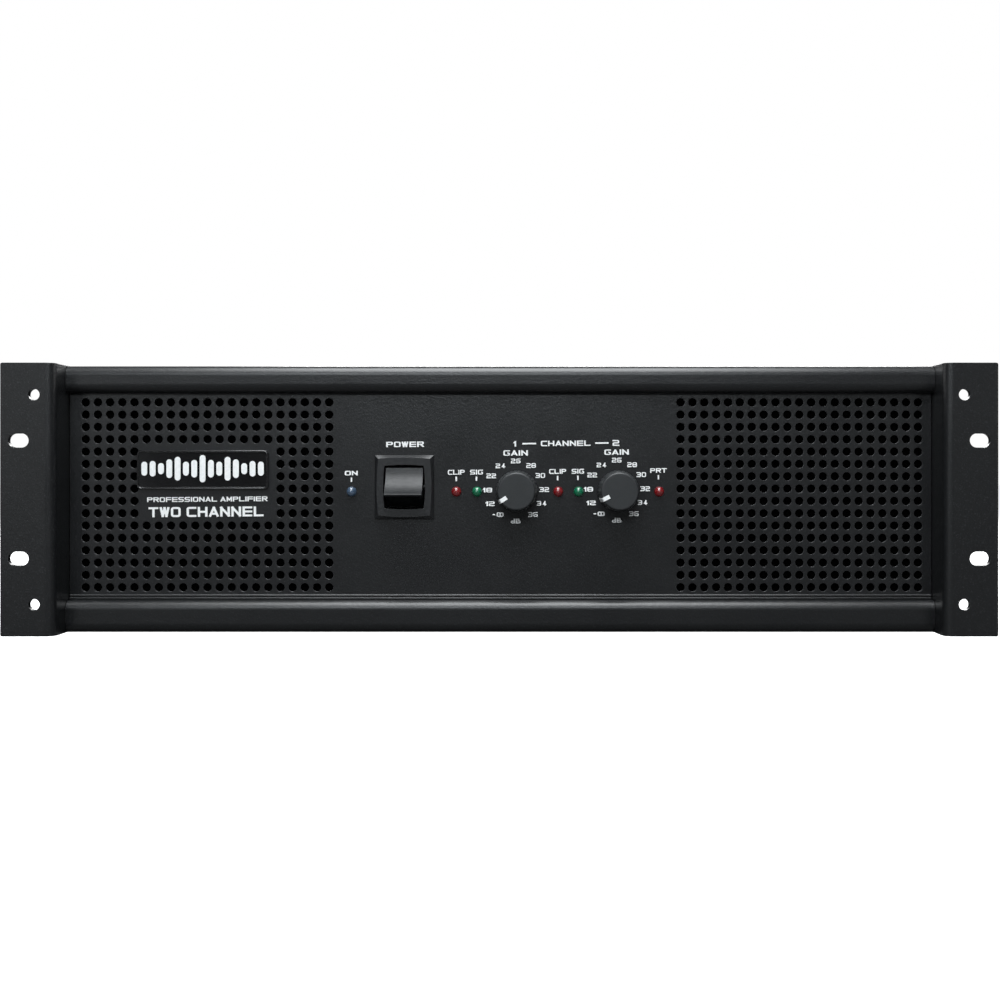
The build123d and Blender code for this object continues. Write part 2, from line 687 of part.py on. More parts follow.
with BuildPart() as board_standoffs:
    with BuildSketch(facing(PANEL_BACK_Y)):
        with Locations(*[(x, z) for x in (-80.0, 82.0) for z in (-20.0, 26.0)], (-2.4, -20.0)):
            RegularPolygon(3.2, 6)
    extrude(amount=-(CONTROL_BOARD_Y - PANEL_BACK_Y))
finish(board_standoffs, "board_standoffs")

# ---- Power supply -----------------------------------------------------------------------------

TOROID_BOTTOM = FLOOR_Z + PAD_THICKNESS
TOROID_TOP = TOROID_BOTTOM + TOROID_HEIGHT
CLAMP_THICKNESS = 2.5

with BuildPart() as toroidal_transformer:
    with BuildSketch(Plane.XY.offset(TOROID_BOTTOM)):
        with Locations(TOROID_CENTRE):
            Circle(TOROID_RADIUS)
            Circle(22.0, mode=Mode.SUBTRACT)
    extrude(amount=TOROID_HEIGHT)
    fillet(toroidal_transformer.edges().filter_by(GeomType.CIRCLE), 9.0)
finish(toroidal_transformer, "toroidal_transformer")

with BuildPart() as transformer_pads:
    for base in (FLOOR_Z, TOROID_TOP):
        with BuildSketch(Plane.XY.offset(base)):
            with Locations(TOROID_CENTRE):
                Circle(62.0)
                Circle(STUD_RADIUS + 1.0, mode=Mode.SUBTRACT)
        extrude(amount=PAD_THICKNESS)
finish(transformer_pads, "transformer_pads")

with BuildPart() as transformer_clamp:
    with BuildSketch(Plane.XY.offset(TOROID_TOP + PAD_THICKNESS)):
        with Locations(TOROID_CENTRE):
            Circle(52.0)
            Circle(STUD_RADIUS + 0.2, mode=Mode.SUBTRACT)
    extrude(amount=CLAMP_THICKNESS)
finish(transformer_clamp, "transformer_clamp")

with BuildPart() as transformer_bolt:
    clamp_top = TOROID_TOP + PAD_THICKNESS + CLAMP_THICKNESS
    with BuildSketch(Plane.XY.offset(CASE_BOTTOM + 0.2)):
        with Locations(TOROID_CENTRE):
            Circle(STUD_RADIUS)
    extrude(amount=clamp_top + 12.0 - CASE_BOTTOM)
    with BuildSketch(Plane.XY.offset(clamp_top)):
        with Locations(TOROID_CENTRE):
            RegularPolygon(7.5, 6)
    extrude(amount=6.5)
finish(transformer_bolt, "transformer_bolt")

with BuildPart() as supply_board:
    with BuildSketch(Plane.XY.offset(SUPPLY_BOARD_Z)):
        with Locations((0, SUPPLY_BOARD_Y)):
            Rectangle(144.0, 96.0)
    extrude(amount=BOARD_THICKNESS)
    # Pillars under the corners
    with BuildSketch(Plane.XY.offset(FLOOR_Z)):
        with Locations((0, SUPPLY_BOARD_Y)):
            with GridLocations(132.0, 84.0, 2, 2):
                RegularPolygon(3.2, 6)
    extrude(amount=SUPPLY_BOARD_Z - FLOOR_Z)
finish(supply_board, "supply_board")

with BuildPart() as filter_capacitors:
    with BuildSketch(Plane.XY.offset(SUPPLY_BOARD_Z + BOARD_THICKNESS)):
        with Locations((0, SUPPLY_BOARD_Y)):
            with GridLocations(46.0, 44.0, 3, 2):
                Circle(17.5)
    extrude(amount=72.0)
    chamfer(filter_capacitors.edges().group_by(Axis.Z)[-1], 1.2)
finish(filter_capacitors, "filter_capacitors")

with BuildPart() as bridge_rectifiers:
    with BuildSketch(Plane.XY.offset(FLOOR_Z)):
        with Locations((-48.0, 353.0), (48.0, 353.0)):
            RectangleRounded(28.6, 28.6, 3.0)
            Circle(2.3, mode=Mode.SUBTRACT)
    extrude(amount=10.0)
finish(bridge_rectifiers, "bridge_rectifiers")

# ---- Output stages ----------------------------------------------------------------------------

FIN_COUNT = 14
FIN_PITCH = 7.4
FIN_LENGTH = 88.0
BASE_THICKNESS = 8.0
TRANSISTOR_PITCH = 34.0
STAGE_CENTRE_Y = HEATSINK_START_Y + HEATSINK_LENGTH / 2

with BuildPart() as heatsinks:
    for side in (-1, 1):
        with BuildSketch(facing(HEATSINK_START_Y)):
            with Locations((side * (HEATSINK_X + BASE_THICKNESS / 2), 0)):
                Rectangle(BASE_THICKNESS, FIN_COUNT * FIN_PITCH)
            with Locations((side * (HEATSINK_X + BASE_THICKNESS + FIN_LENGTH / 2 - 0.5), 0)):
                with GridLocations(1.0, FIN_PITCH, 1, FIN_COUNT):
                    Rectangle(FIN_LENGTH + 1.0, 1.8)
        extrude(amount=-HEATSINK_LENGTH)
finish(heatsinks, "heatsinks")

with BuildPart() as output_transistors:
    for side in (-1, 1):
        face = Plane(
            origin=(side * HEATSINK_X, STAGE_CENTRE_Y, 0), x_dir=(0, 1, 0), z_dir=(side, 0, 0)
        )
        with BuildSketch(face):
            with GridLocations(TRANSISTOR_PITCH, 44.0, 5, 2):
                Rectangle(15.6, 20.0)
        extrude(amount=-TRANSISTOR_THICKNESS)
        with BuildSketch(face.offset(-TRANSISTOR_THICKNESS)):
            with GridLocations(TRANSISTOR_PITCH, 44.0, 5, 2):
                with GridLocations(5.4, 1.0, 3, 1):
                    Rectangle(1.2, 0.8)
        extrude(amount=-(HEATSINK_X - TRANSISTOR_THICKNESS - AMPLIFIER_BOARD_X - BOARD_THICKNESS))
finish(output_transistors, "output_transistors")

with BuildPart() as amplifier_boards:
    for side in (-1, 1):
        with BuildSketch(Plane.YZ.offset(side * AMPLIFIER_BOARD_X)):
            with Locations((STAGE_CENTRE_Y, 0)):
                Rectangle(HEATSINK_LENGTH - 10.0, 100.0)
        extrude(amount=side * BOARD_THICKNESS)
finish(amplifier_boards, "amplifier_boards")

# ---- Rear panel -------------------------------------------------------------------------------

FLANGE_HALF_HEIGHT = 16.5
FAN_CORNERS = [place for x in (-FAN_X, FAN_X) for place in corners_of_square((x, 0), FAN_SCREW_OFFSET)]
REAR_FLANGE_WIDTH = 180.0
XLR_BARREL = 11.9
XLR_SCREWS = [(x + i * 9.5, z + i * 12.0) for x, z in XLR_CENTRES for i in (-1, 1)]
SPEAKER_SCREWS = [(x + i * 10.5, z + i * 13.0) for x, z in SPEAKER_CENTRES for i in (-1, 1)]
INLET_SCREWS = [(INLET_CENTRE[0] + i * 23.5, INLET_CENTRE[1]) for i in (-1, 1)]
CONNECTOR_SCREW_RADIUS = 1.5
LATCH_WIDTH = 8.0
LATCH_LOW = 11.0
LATCH_HEIGHT = 3.0
JACK_BUSH = 5.5
SPEAKER_BARREL = 13.0
INLET_BODY = (36.0, 26.0)

with BuildPart() as rear_panel:
    with BuildSketch(facing(REAR_PANEL_Y)):
        with Locations((0, (LID_Z + CASE_BOTTOM) / 2)):
            Rectangle(2 * CASE_HALF_WIDTH, LID_Z - CASE_BOTTOM)
        with Locations((-FAN_X, 0), (FAN_X, 0)):
            Circle(FAN_BORE, mode=Mode.SUBTRACT)
        with Locations(*FAN_CORNERS):
            Circle(FAN_SCREW_RADIUS + 0.2, mode=Mode.SUBTRACT)
        with Locations(*XLR_SCREWS, *SPEAKER_SCREWS, *INLET_SCREWS):
            Circle(CONNECTOR_SCREW_RADIUS + SHAFT_CLEARANCE, mode=Mode.SUBTRACT)
        for x, z in XLR_CENTRES:
            with Locations((x, z)):
                Circle(XLR_BARREL + 0.2, mode=Mode.SUBTRACT)
            with Locations((x, z + LATCH_LOW)):
                Rectangle(LATCH_WIDTH + 3.4, 8.2, mode=Mode.SUBTRACT)
        with Locations(*JACK_CENTRES):
            Circle(JACK_BUSH + 0.1, mode=Mode.SUBTRACT)
        with Locations(*SPEAKER_CENTRES):
            Circle(SPEAKER_BARREL + 0.2, mode=Mode.SUBTRACT)
        with Locations(INLET_CENTRE):
            Rectangle(INLET_BODY[0] + 0.4, INLET_BODY[1] + 0.4, mode=Mode.SUBTRACT)
        with Locations(MODE_SWITCH_CENTRE):
            Rectangle(12.6, 5.6, mode=Mode.SUBTRACT)
        with Locations(GROUND_CENTRE):
            Circle(2.5, mode=Mode.SUBTRACT)
    extrude(amount=-SHEET)
    # Flanges under the cover and beside the walls
    with BuildSketch(Plane.XY.offset(LID_Z - SHEET)):
        with Locations((0, REAR_PANEL_Y - 8.0)):
            Rectangle(2 * REAR_FLANGE_WIDTH, 16.2)
        with Locations(*[(x, REAR_COVER_SCREW_Y) for x in REAR_COVER_SCREW_XS]):
            Circle(COVER_SCREW_SHANK + SHAFT_CLEARANCE, mode=Mode.SUBTRACT)
    extrude(amount=SHEET)
    for side in (-1, 1):
        with BuildSketch(Plane.YZ.offset(side * (CASE_HALF_WIDTH - SHEET))):
            with Locations((REAR_PANEL_Y - 14.0, 0)):
                Rectangle(28.2, 60.0)
            with Locations(*SUPPORT_SCREW_PLACES):
                Circle(EAR_SCREW_SHANK + SHAFT_CLEARANCE, mode=Mode.SUBTRACT)
        extrude(amount=-side * SHEET)
finish(rear_panel, "rear_panel")

# ---- Fans -------------------------------------------------------------------------------------

MOTOR_RADIUS = 16.0
MOTOR_PLATE = 4.0
HUB_FRONT_Y = FAN_FRONT_Y + 2.0
STRUT_Y = REAR_PANEL_Y - MOTOR_PLATE
FAN_SHAFT_RADIUS = 1.5
BLADE_COUNT = 7
BLADE_PITCH_ANGLE = 38.0
BLADE_MIDDLE_RADIUS = 26.0

with BuildPart() as fan_frames:
    for x in (-FAN_X, FAN_X):
        with BuildSketch(facing(FAN_FRONT_Y)):
            with Locations((x, 0)):
                RectangleRounded(FAN_SIZE, FAN_SIZE, 4.0)
                Circle(FAN_BORE, mode=Mode.SUBTRACT)
            with Locations(*corners_of_square((x, 0), FAN_SCREW_OFFSET)):
                Circle(FAN_SCREW_RADIUS + 0.2, mode=Mode.SUBTRACT)
        extrude(amount=-FAN_DEPTH)
        # Motor plate on three struts, with the shaft's bearing tube
        with BuildSketch(facing(STRUT_Y)):
            with Locations((x, 0)):
                Circle(MOTOR_RADIUS)
                with PolarLocations(27.0, 3, start_angle=90):
                    Rectangle(25.0, 4.0)
        extrude(amount=-MOTOR_PLATE)
        with BuildSketch(facing(HUB_FRONT_Y + 4.0)):
            with Locations((x, 0)):
                Circle(4.0)
        extrude(amount=-(STRUT_Y - HUB_FRONT_Y - 4.0))
        with BuildSketch(facing(HUB_FRONT_Y)):
            with Locations((x, 0)):
                Circle(FAN_SHAFT_RADIUS + SHAFT_CLEARANCE)
        extrude(amount=-(STRUT_Y - HUB_FRONT_Y), mode=Mode.SUBTRACT)
finish(fan_frames, "fan_frames")


def fan_rotor(x):
    """Hub cup, shaft and twisted blades of one fan."""
    with BuildPart() as rotor:
        with BuildSketch(facing(HUB_FRONT_Y)):
            with Locations((x, 0)):
                Circle(MOTOR_RADIUS)
        extrude(amount=-(STRUT_Y - 1.0 - HUB_FRONT_Y))
        with BuildSketch(facing(HUB_FRONT_Y + 2.0)):
            with Locations((x, 0)):
                Circle(MOTOR_RADIUS - 2.0)
        extrude(amount=-FAN_DEPTH, mode=Mode.SUBTRACT)
        with BuildSketch(facing(HUB_FRONT_Y + 1.0)):
            with Locations((x, 0)):
                Circle(FAN_SHAFT_RADIUS)
        extrude(amount=-(STRUT_Y - HUB_FRONT_Y - 1.4))
        # Each blade is a slab set at an angle to the axis and trimmed to the swept ring
        middle_y = (HUB_FRONT_Y + STRUT_Y - 1.0) / 2
        turns = [Location((x, middle_y, 0), (0, i * 360 / BLADE_COUNT, 0)) for i in range(BLADE_COUNT)]
        with Locations(*turns):
            with Locations(Location((0, 0, BLADE_MIDDLE_RADIUS), (0, 0, BLADE_PITCH_ANGLE))):
                Box(19.0, 1.6, 21.2)
    return rotor


for number, x in enumerate((-FAN_X, FAN_X), 1):
    finish(fan_rotor(x), f"fan_rotor_{number}")

GUARD_WIRE = 0.9
GUARD_Y = CASE_REAR_Y + 2.5
SPOKE_Y = GUARD_Y - 1.3
GUARD_RINGS = (13.0, 21.0, 29.0, 37.0)

with BuildPart() as fan_guards:
    for x in (-FAN_X, FAN_X):
        for radius in GUARD_RINGS:
            with Locations((x, GUARD_Y, 0)):
                Torus(radius, GUARD_WIRE, rotation=(90, 0, 0))
        for turn in (45, 135, 225, 315):
            with Locations(Location((x, SPOKE_Y, 0), (0, turn, 0))):
                with Locations((0, 0, 30.0)):
                    Cylinder(GUARD_WIRE, 35.4)
    with Locations(*[(px, SPOKE_Y, pz) for px, pz in FAN_CORNERS]):
        Torus(3.0, GUARD_WIRE, rotation=(90, 0, 0))
finish(fan_guards, "fan_guards")


def rear_places(places, y):
    """Places on the rear, each turned so that its Z axis points to the rear."""
    return [
        Location(Plane(origin=(px, y, pz), x_dir=(1, 0, 0), z_dir=(0, 1, 0))) for px, pz in places
    ]


fan_screw = pan_screw(3.9, FAN_SCREW_RADIUS, 26.0)
with BuildPart() as fan_screws:
    with Locations(*rear_places(FAN_CORNERS, SPOKE_Y + GUARD_WIRE)):
        add(fan_screw)
finish(fan_screws, "fan_screws")

# ---- Rear connectors --------------------------------------------------------------------------

INLET_FLANGE = (58.0, 31.0)
INLET_CAVITY = (31.0, 21.0)
INLET_FLANGE_THICKNESS = 2.5

with BuildPart() as mains_inlet:
    with BuildSketch(facing(CASE_REAR_Y)):
        with Locations(INLET_CENTRE):
            RectangleRounded(*INLET_FLANGE, 5.0)
    extrude(amount=-INLET_FLANGE_THICKNESS)
    chamfer(mains_inlet.edges().group_by(Axis.Y)[-1], 0.6)
    with BuildSketch(facing(CASE_REAR_Y)):
        with Locations(INLET_CENTRE):
            RectangleRounded(*INLET_BODY, 2.0)
    extrude(amount=22.0)
    with BuildSketch(facing(CASE_REAR_Y + INLET_FLANGE_THICKNESS)):
        with Locations(INLET_CENTRE):
            RectangleRounded(*INLET_CAVITY, 2.5)
    extrude(amount=20.0, mode=Mode.SUBTRACT)
    with BuildSketch(facing(CASE_REAR_Y)):
        with Locations(*INLET_SCREWS):
            Circle(CONNECTOR_SCREW_RADIUS + SHAFT_CLEARANCE)
    extrude(amount=-INLET_FLANGE_THICKNESS, mode=Mode.SUBTRACT)
finish(mains_inlet, "mains_inlet")

with BuildPart() as inlet_pins:
    with BuildSketch(facing(CASE_REAR_Y - 17.5)):
        for pin_x, pin_z in ((-8.0, -2.5), (8.0, -2.5), (0.0, 3.0)):
            with Locations((INLET_CENTRE[0] + pin_x, INLET_CENTRE[1] + pin_z)):
                Rectangle(2.0, 8.0)
    extrude(amount=-14.0)
    chamfer(inlet_pins.edges().group_by(Axis.Y)[-1], 0.5)
finish(inlet_pins, "inlet_pins")

XLR_BORE = 9.6
XLR_INSERT = 7.9
XLR_DEPTH = 16.0
XLR_REAR_Y = CASE_REAR_Y + 2.0

with BuildPart() as xlr_sockets:
    for x, z in XLR_CENTRES:
        with BuildSketch(facing(CASE_REAR_Y)):
            with Locations((x, z)):
                RectangleRounded(26.0, 2 * FLANGE_HALF_HEIGHT, 3.0)
            with Locations(*[place for place in XLR_SCREWS if abs(place[0] - x) < 12]):
                Circle(CONNECTOR_SCREW_RADIUS + SHAFT_CLEARANCE, mode=Mode.SUBTRACT)
        extrude(amount=-(XLR_REAR_Y - CASE_REAR_Y))
        with BuildSketch(facing(CASE_REAR_Y)):
            with Locations((x, z)):
                Circle(XLR_BARREL)
            with Locations((x, z + LATCH_LOW)):
                Rectangle(LATCH_WIDTH + 3.0, 7.8)
        extrude(amount=CASE_REAR_Y - INPUT_BOARD_Y - BOARD_THICKNESS)
        with BuildSketch(facing(XLR_REAR_Y)):
            with Locations((x, z)):
                Circle(XLR_BORE)
        extrude(amount=XLR_DEPTH, mode=Mode.SUBTRACT)
        with BuildSketch(facing(XLR_REAR_Y)):
            with Locations((x, z + LATCH_LOW + LATCH_HEIGHT / 2)):
                Rectangle(LATCH_WIDTH + 0.2, LATCH_HEIGHT + 0.2)
        extrude(amount=9.0, mode=Mode.SUBTRACT)
finish(xlr_sockets, "xlr_sockets")

with BuildPart() as xlr_inserts:
    for x, z in XLR_CENTRES:
        with BuildSketch(facing(XLR_REAR_Y - XLR_DEPTH)):
            with Locations((x, z)):
                Circle(XLR_INSERT)
                with PolarLocations(4.2, 3, start_angle=30):
                    Circle(1.35, mode=Mode.SUBTRACT)
        extrude(amount=-(XLR_DEPTH - 1.5))
finish(xlr_inserts, "xlr_inserts")


def xlr_latch(centre):
    """Push tab above a socket, that frees the plug."""
    with BuildPart() as latch:
        with BuildSketch(facing(XLR_REAR_Y - 6.0)):
            with Locations((centre[0], centre[1] + LATCH_LOW + LATCH_HEIGHT / 2)):
                Rectangle(LATCH_WIDTH, LATCH_HEIGHT)
        extrude(amount=-8.6)
        chamfer(latch.edges().group_by(Axis.Y)[-1], 0.5)
    return latch


for number, centre in enumerate(XLR_CENTRES, 1):
    finish(xlr_latch(centre), f"xlr_latch_{number}")

with BuildPart() as jack_sockets:
    with BuildSketch(facing(REAR_PANEL_Y)):
        with Locations(*JACK_CENTRES):
            Rectangle(16.0, 16.0)
    extrude(amount=REAR_PANEL_Y - INPUT_BOARD_Y - BOARD_THICKNESS)
    with BuildSketch(facing(REAR_PANEL_Y)):
        with Locations(*JACK_CENTRES):
            Circle(JACK_BUSH)
    extrude(amount=-(SHEET + 3.4))
    with BuildSketch(facing(CASE_REAR_Y)):
        with Locations(*JACK_CENTRES):
            RegularPolygon(8.0, 6)
    extrude(amount=-2.0)
    with BuildSketch(facing(CASE_REAR_Y + 4.0)):
        with Locations(*JACK_CENTRES):
            Circle(3.25)
    extrude(amount=26.0, mode=Mode.SUBTRACT)
finish(jack_sockets, "jack_sockets")

MODE_TRAVEL = 6.6
MODE_SLIDER_WIDTH = 5.0
with BuildPart() as mode_switch_body:
    with BuildSketch(facing(REAR_PANEL_Y)):
        with Locations(MODE_SWITCH_CENTRE):
            Rectangle(24.0, 10.0)
    extrude(amount=9.0)
    with BuildSketch(facing(REAR_PANEL_Y)):
        with Locations(MODE_SWITCH_CENTRE):
            Rectangle(MODE_TRAVEL + MODE_SLIDER_WIDTH + 0.4, 5.0)
    extrude(amount=5.0, mode=Mode.SUBTRACT)
finish(mode_switch_body, "mode_switch_body")

with BuildPart() as mode_slider:
    with BuildSketch(facing(REAR_PANEL_Y - 4.7)):
        with Locations((MODE_SWITCH_CENTRE[0] - MODE_TRAVEL / 2, MODE_SWITCH_CENTRE[1])):
            Rectangle(MODE_SLIDER_WIDTH, 4.6)
    extrude(amount=-9.5)
    for groove in (-1.2, 0.0, 1.2):
        groove_x = MODE_SWITCH_CENTRE[0] - MODE_TRAVEL / 2 + groove
        with BuildSketch(facing(REAR_PANEL_Y + 4.8)):
            with Locations((groove_x, MODE_SWITCH_CENTRE[1])):
                Rectangle(0.5, 4.6)
        extrude(amount=0.5, mode=Mode.SUBTRACT)
finish(mode_slider, "mode_slider")

SPEAKER_BORE = 11.8
SPEAKER_POST = 6.2
SPEAKER_DEPTH = 18.0
SPEAKER_REAR_Y = CASE_REAR_Y + 2.4
with BuildPart() as speaker_sockets:
    for x, z in SPEAKER_CENTRES:
        with BuildSketch(facing(CASE_REAR_Y)):
            with Locations((x, z)):
                RectangleRounded(28.0, 2 * FLANGE_HALF_HEIGHT, 3.0)
            with Locations(*[place for place in SPEAKER_SCREWS if abs(place[0] - x) < 12]):
                Circle(CONNECTOR_SCREW_RADIUS + SHAFT_CLEARANCE, mode=Mode.SUBTRACT)
        extrude(amount=-(SPEAKER_REAR_Y - CASE_REAR_Y))
        with BuildSketch(facing(CASE_REAR_Y)):
            with Locations((x, z)):
                Circle(SPEAKER_BARREL)
        extrude(amount=22.0)
        with BuildSketch(facing(SPEAKER_REAR_Y)):
            with Locations((x, z)):
                Circle(SPEAKER_BORE)
        extrude(amount=SPEAKER_DEPTH, mode=Mode.SUBTRACT)
finish(speaker_sockets, "speaker_sockets")

# Posts in the middle of the speaker sockets, with their bayonet notches
with BuildPart() as speaker_posts:
    for x, z in SPEAKER_CENTRES:
        with BuildSketch(facing(SPEAKER_REAR_Y - SPEAKER_DEPTH)):
            with Locations((x, z)):
                Circle(SPEAKER_POST)
                with PolarLocations(SPEAKER_POST, 4, start_angle=45):
                    Rectangle(2.0, 2.6, mode=Mode.SUBTRACT)
        extrude(amount=-(SPEAKER_DEPTH - 0.4))
finish(speaker_posts, "speaker_posts")

connector_screw = pan_screw(2.6, CONNECTOR_SCREW_RADIUS, 7.0)
with BuildPart() as connector_screws:
    with Locations(*rear_places(XLR_SCREWS, XLR_REAR_Y)):
        add(connector_screw)
    with Locations(*rear_places(SPEAKER_SCREWS, SPEAKER_REAR_Y)):
        add(connector_screw)
    with Locations(*rear_places(INLET_SCREWS, CASE_REAR_Y + INLET_FLANGE_THICKNESS)):
        add(connector_screw)
finish(connector_screws, "connector_screws")

ground_screw_shape = pan_screw(4.5, 2.45, 9.0)
with BuildPart() as ground_screw:
    with Locations(*rear_places([GROUND_CENTRE], CASE_REAR_Y)):
        add(ground_screw_shape)
finish(ground_screw, "ground_screw")

with BuildPart() as input_board:
    with BuildSketch(facing(INPUT_BOARD_Y)):
        with Locations((63.0, 12.0)):
            Rectangle(74.0, 80.0)
    extrude(amount=-BOARD_THICKNESS)
finish(input_board, "input_board")

# Flat cable from the control board, over the transformer, to the input board
with BuildPart() as ribbon_cable:
    with BuildSketch(Plane.YZ.offset(30.0)):
        with BuildLine():
            FilletPolyline(
                (CONTROL_BOARD_Y + BOARD_THICKNESS, 24),
                (42, 24),
                (42, 56),
                (344, 56),
                (344, 44),
                (INPUT_BOARD_Y, 44),
                radius=3.0,
            )
        trace(line_width=1.0)
    extrude(amount=20.0)
finish(ribbon_cable, "ribbon_cable")
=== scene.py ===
import bpy
import bmesh
import json
from math import cos, pi, radians, sin
from mathutils import Matrix, Vector


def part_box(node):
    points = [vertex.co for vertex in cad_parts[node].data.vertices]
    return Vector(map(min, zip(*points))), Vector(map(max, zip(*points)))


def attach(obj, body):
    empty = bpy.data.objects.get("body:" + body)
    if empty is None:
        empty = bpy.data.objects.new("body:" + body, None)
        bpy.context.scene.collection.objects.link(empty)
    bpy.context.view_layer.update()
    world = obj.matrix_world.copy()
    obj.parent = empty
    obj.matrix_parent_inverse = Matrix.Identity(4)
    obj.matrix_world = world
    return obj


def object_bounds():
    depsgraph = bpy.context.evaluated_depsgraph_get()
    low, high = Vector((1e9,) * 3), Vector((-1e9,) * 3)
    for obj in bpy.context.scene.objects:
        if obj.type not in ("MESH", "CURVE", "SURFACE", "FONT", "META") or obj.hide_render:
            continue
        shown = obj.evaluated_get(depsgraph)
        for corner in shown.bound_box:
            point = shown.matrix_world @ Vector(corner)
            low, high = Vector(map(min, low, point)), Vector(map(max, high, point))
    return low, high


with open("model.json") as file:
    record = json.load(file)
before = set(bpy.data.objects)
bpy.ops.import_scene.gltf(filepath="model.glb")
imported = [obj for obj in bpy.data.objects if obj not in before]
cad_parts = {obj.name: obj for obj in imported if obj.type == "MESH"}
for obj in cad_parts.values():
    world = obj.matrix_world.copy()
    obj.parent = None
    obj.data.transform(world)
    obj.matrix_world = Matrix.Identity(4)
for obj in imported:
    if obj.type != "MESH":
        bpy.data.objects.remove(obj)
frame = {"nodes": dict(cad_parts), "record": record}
cad_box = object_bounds()
nodes = frame["nodes"]
scene = bpy.context.scene
MM = 0.001
BEVEL_SAMPLES = 4

# The Mix node's colour sockets share their names with its other sockets, so they go by number.
COLOUR_A = 6
COLOUR_B = 7
MIXED_COLOUR = 2

# ---- Node tree helpers ---------------------------------------------------------------------------


class Surface:
    """One procedural material, with short names for the nodes it is made of."""

    def __init__(self, name, **values):
        self.material = bpy.data.materials.new(name)
        self.material.use_nodes = True
        self.tree = self.material.node_tree
        self.shader = self.tree.nodes["Principled BSDF"]
        for socket, value in values.items():
            self.shader.inputs[socket.replace("_", " ")].default_value = value
        self.place = self.node("ShaderNodeTexCoord").outputs["Object"]

    def node(self, kind, **settings):
        made = self.tree.nodes.new(kind)
        for key, value in settings.items():
            setattr(made, key, value)
        return made

    def link(self, source, target):
        self.tree.links.new(source, target)

    def noise(self, scale, detail=2.0, roughness=0.5, stretch=(1, 1, 1)):
        """Noise over the object's own coordinates, in features per metre."""
        mapping = self.node("ShaderNodeMapping")
        mapping.inputs["Scale"].default_value = stretch
        self.link(self.place, mapping.inputs["Vector"])
        texture = self.node("ShaderNodeTexNoise")
        texture.inputs["Scale"].default_value = scale
        texture.inputs["Detail"].default_value = detail
        texture.inputs["Roughness"].default_value = roughness
        self.link(mapping.outputs["Vector"], texture.inputs["Vector"])
        return texture.outputs["Fac"]

    def cells(self, scale, feature="F1"):
        """Distance across Voronoi cells, in cells per metre."""
        texture = self.node("ShaderNodeTexVoronoi", feature=feature)
        texture.inputs["Scale"].default_value = scale
        self.link(self.place, texture.inputs["Vector"])
        return texture.outputs["Distance"]

    def spread(self, value, low, high, to_low=0.0, to_high=1.0):
        """Maps a value from one range to another, held at both ends."""
        ranged = self.node("ShaderNodeMapRange")
        sockets = ("From Min", "From Max", "To Min", "To Max")
        for socket, number in zip(sockets, (low, high, to_low, to_high)):
            ranged.inputs[socket].default_value = number
        self.link(value, ranged.inputs["Value"])
        return ranged.outputs["Result"]

    def blend(self, factor, first, second):
        """Mixes two colours, given as values or as outputs."""
        mix = self.node("ShaderNodeMix", data_type="RGBA")
        self.link(factor, mix.inputs["Factor"])
        for socket, colour in ((COLOUR_A, first), (COLOUR_B, second)):
            if isinstance(colour, tuple):
                mix.inputs[socket].default_value = (*colour, 1.0)
            else:
                self.link(colour, mix.inputs[socket])
        return mix.outputs[MIXED_COLOUR]

    def colour(self, output):
        self.link(output, self.shader.inputs["Base Color"])

    def roughness(self, output):
        self.link(output, self.shader.inputs["Roughness"])

    def bump(self, heights, edge=0.0):
        """Stacks (height output, strength, depth in mm) over edges rounded to a radius in mm."""
        normal = None
        if edge:
            soft = self.node("ShaderNodeBevel", samples=BEVEL_SAMPLES)
            soft.inputs["Radius"].default_value = edge * MM
            normal = soft.outputs["Normal"]
        for height, strength, depth in heights:
            step = self.node("ShaderNodeBump")
            step.inputs["Strength"].default_value = strength
            step.inputs["Distance"].default_value = depth * MM
            self.link(height, step.inputs["Height"])
            if normal is not None:
                self.link(normal, step.inputs["Normal"])
            normal = step.outputs["Normal"]
        self.link(normal, self.shader.inputs["Normal"])
        self.link(normal, self.shader.inputs["Coat Normal"])

    def edge_wear_and_highlight(self, radius, low, high):
        """Rises from 0 to 1 where the surface turns sharply within a radius in mm."""
        soft = self.node("ShaderNodeBevel", samples=BEVEL_SAMPLES)
        soft.inputs["Radius"].default_value = radius * MM
        plain = self.node("ShaderNodeNewGeometry")
        dot = self.node("ShaderNodeVectorMath", operation="DOT_PRODUCT")
        self.link(soft.outputs["Normal"], dot.inputs[0])
        self.link(plain.outputs["Normal"], dot.inputs[1])
        return self.spread(dot.outputs["Value"], low, high, 1.0, 0.0)


# ---- Materials -----------------------------------------------------------------------------------


def powder_coat():
    """Black textured coat with pale flecks that are painted glints, and paler along its edges, partly where
    it is worn and partly as a painted highlight on lit edges and hole rims.
    """
    s = Surface("powder_black", IOR=1.5)
    drift = s.spread(s.noise(scale=9, detail=3, roughness=0.6), 0.3, 0.7)
    # Pale flecks: painted glints standing for the light caught by the coat's grain.
    painted_glint = s.spread(s.noise(scale=1700, detail=1), 0.60, 0.76)
    tone = s.blend(drift, (0.0040, 0.0044, 0.0050), (0.0058, 0.0062, 0.0068))
    glint_speckled = s.blend(painted_glint, tone, (0.022, 0.023, 0.025))
    # Paler edges: partly worn paint, partly a painted highlight on lit edges and hole rims.
    wear_and_highlight = s.edge_wear_and_highlight(radius=0.5, low=0.86, high=0.98)
    s.colour(s.blend(wear_and_highlight, glint_speckled, (0.040, 0.040, 0.042)))
    s.roughness(s.spread(s.noise(scale=35, detail=4, roughness=0.6), 0.3, 0.7, 0.29, 0.34))
    grain = s.noise(scale=1000, detail=3, roughness=0.7)
    orange_peel = s.noise(scale=420)
    s.bump([(grain, 0.55, 0.16), (orange_peel, 0.2, 0.14)], edge=0.5)
    return s.material


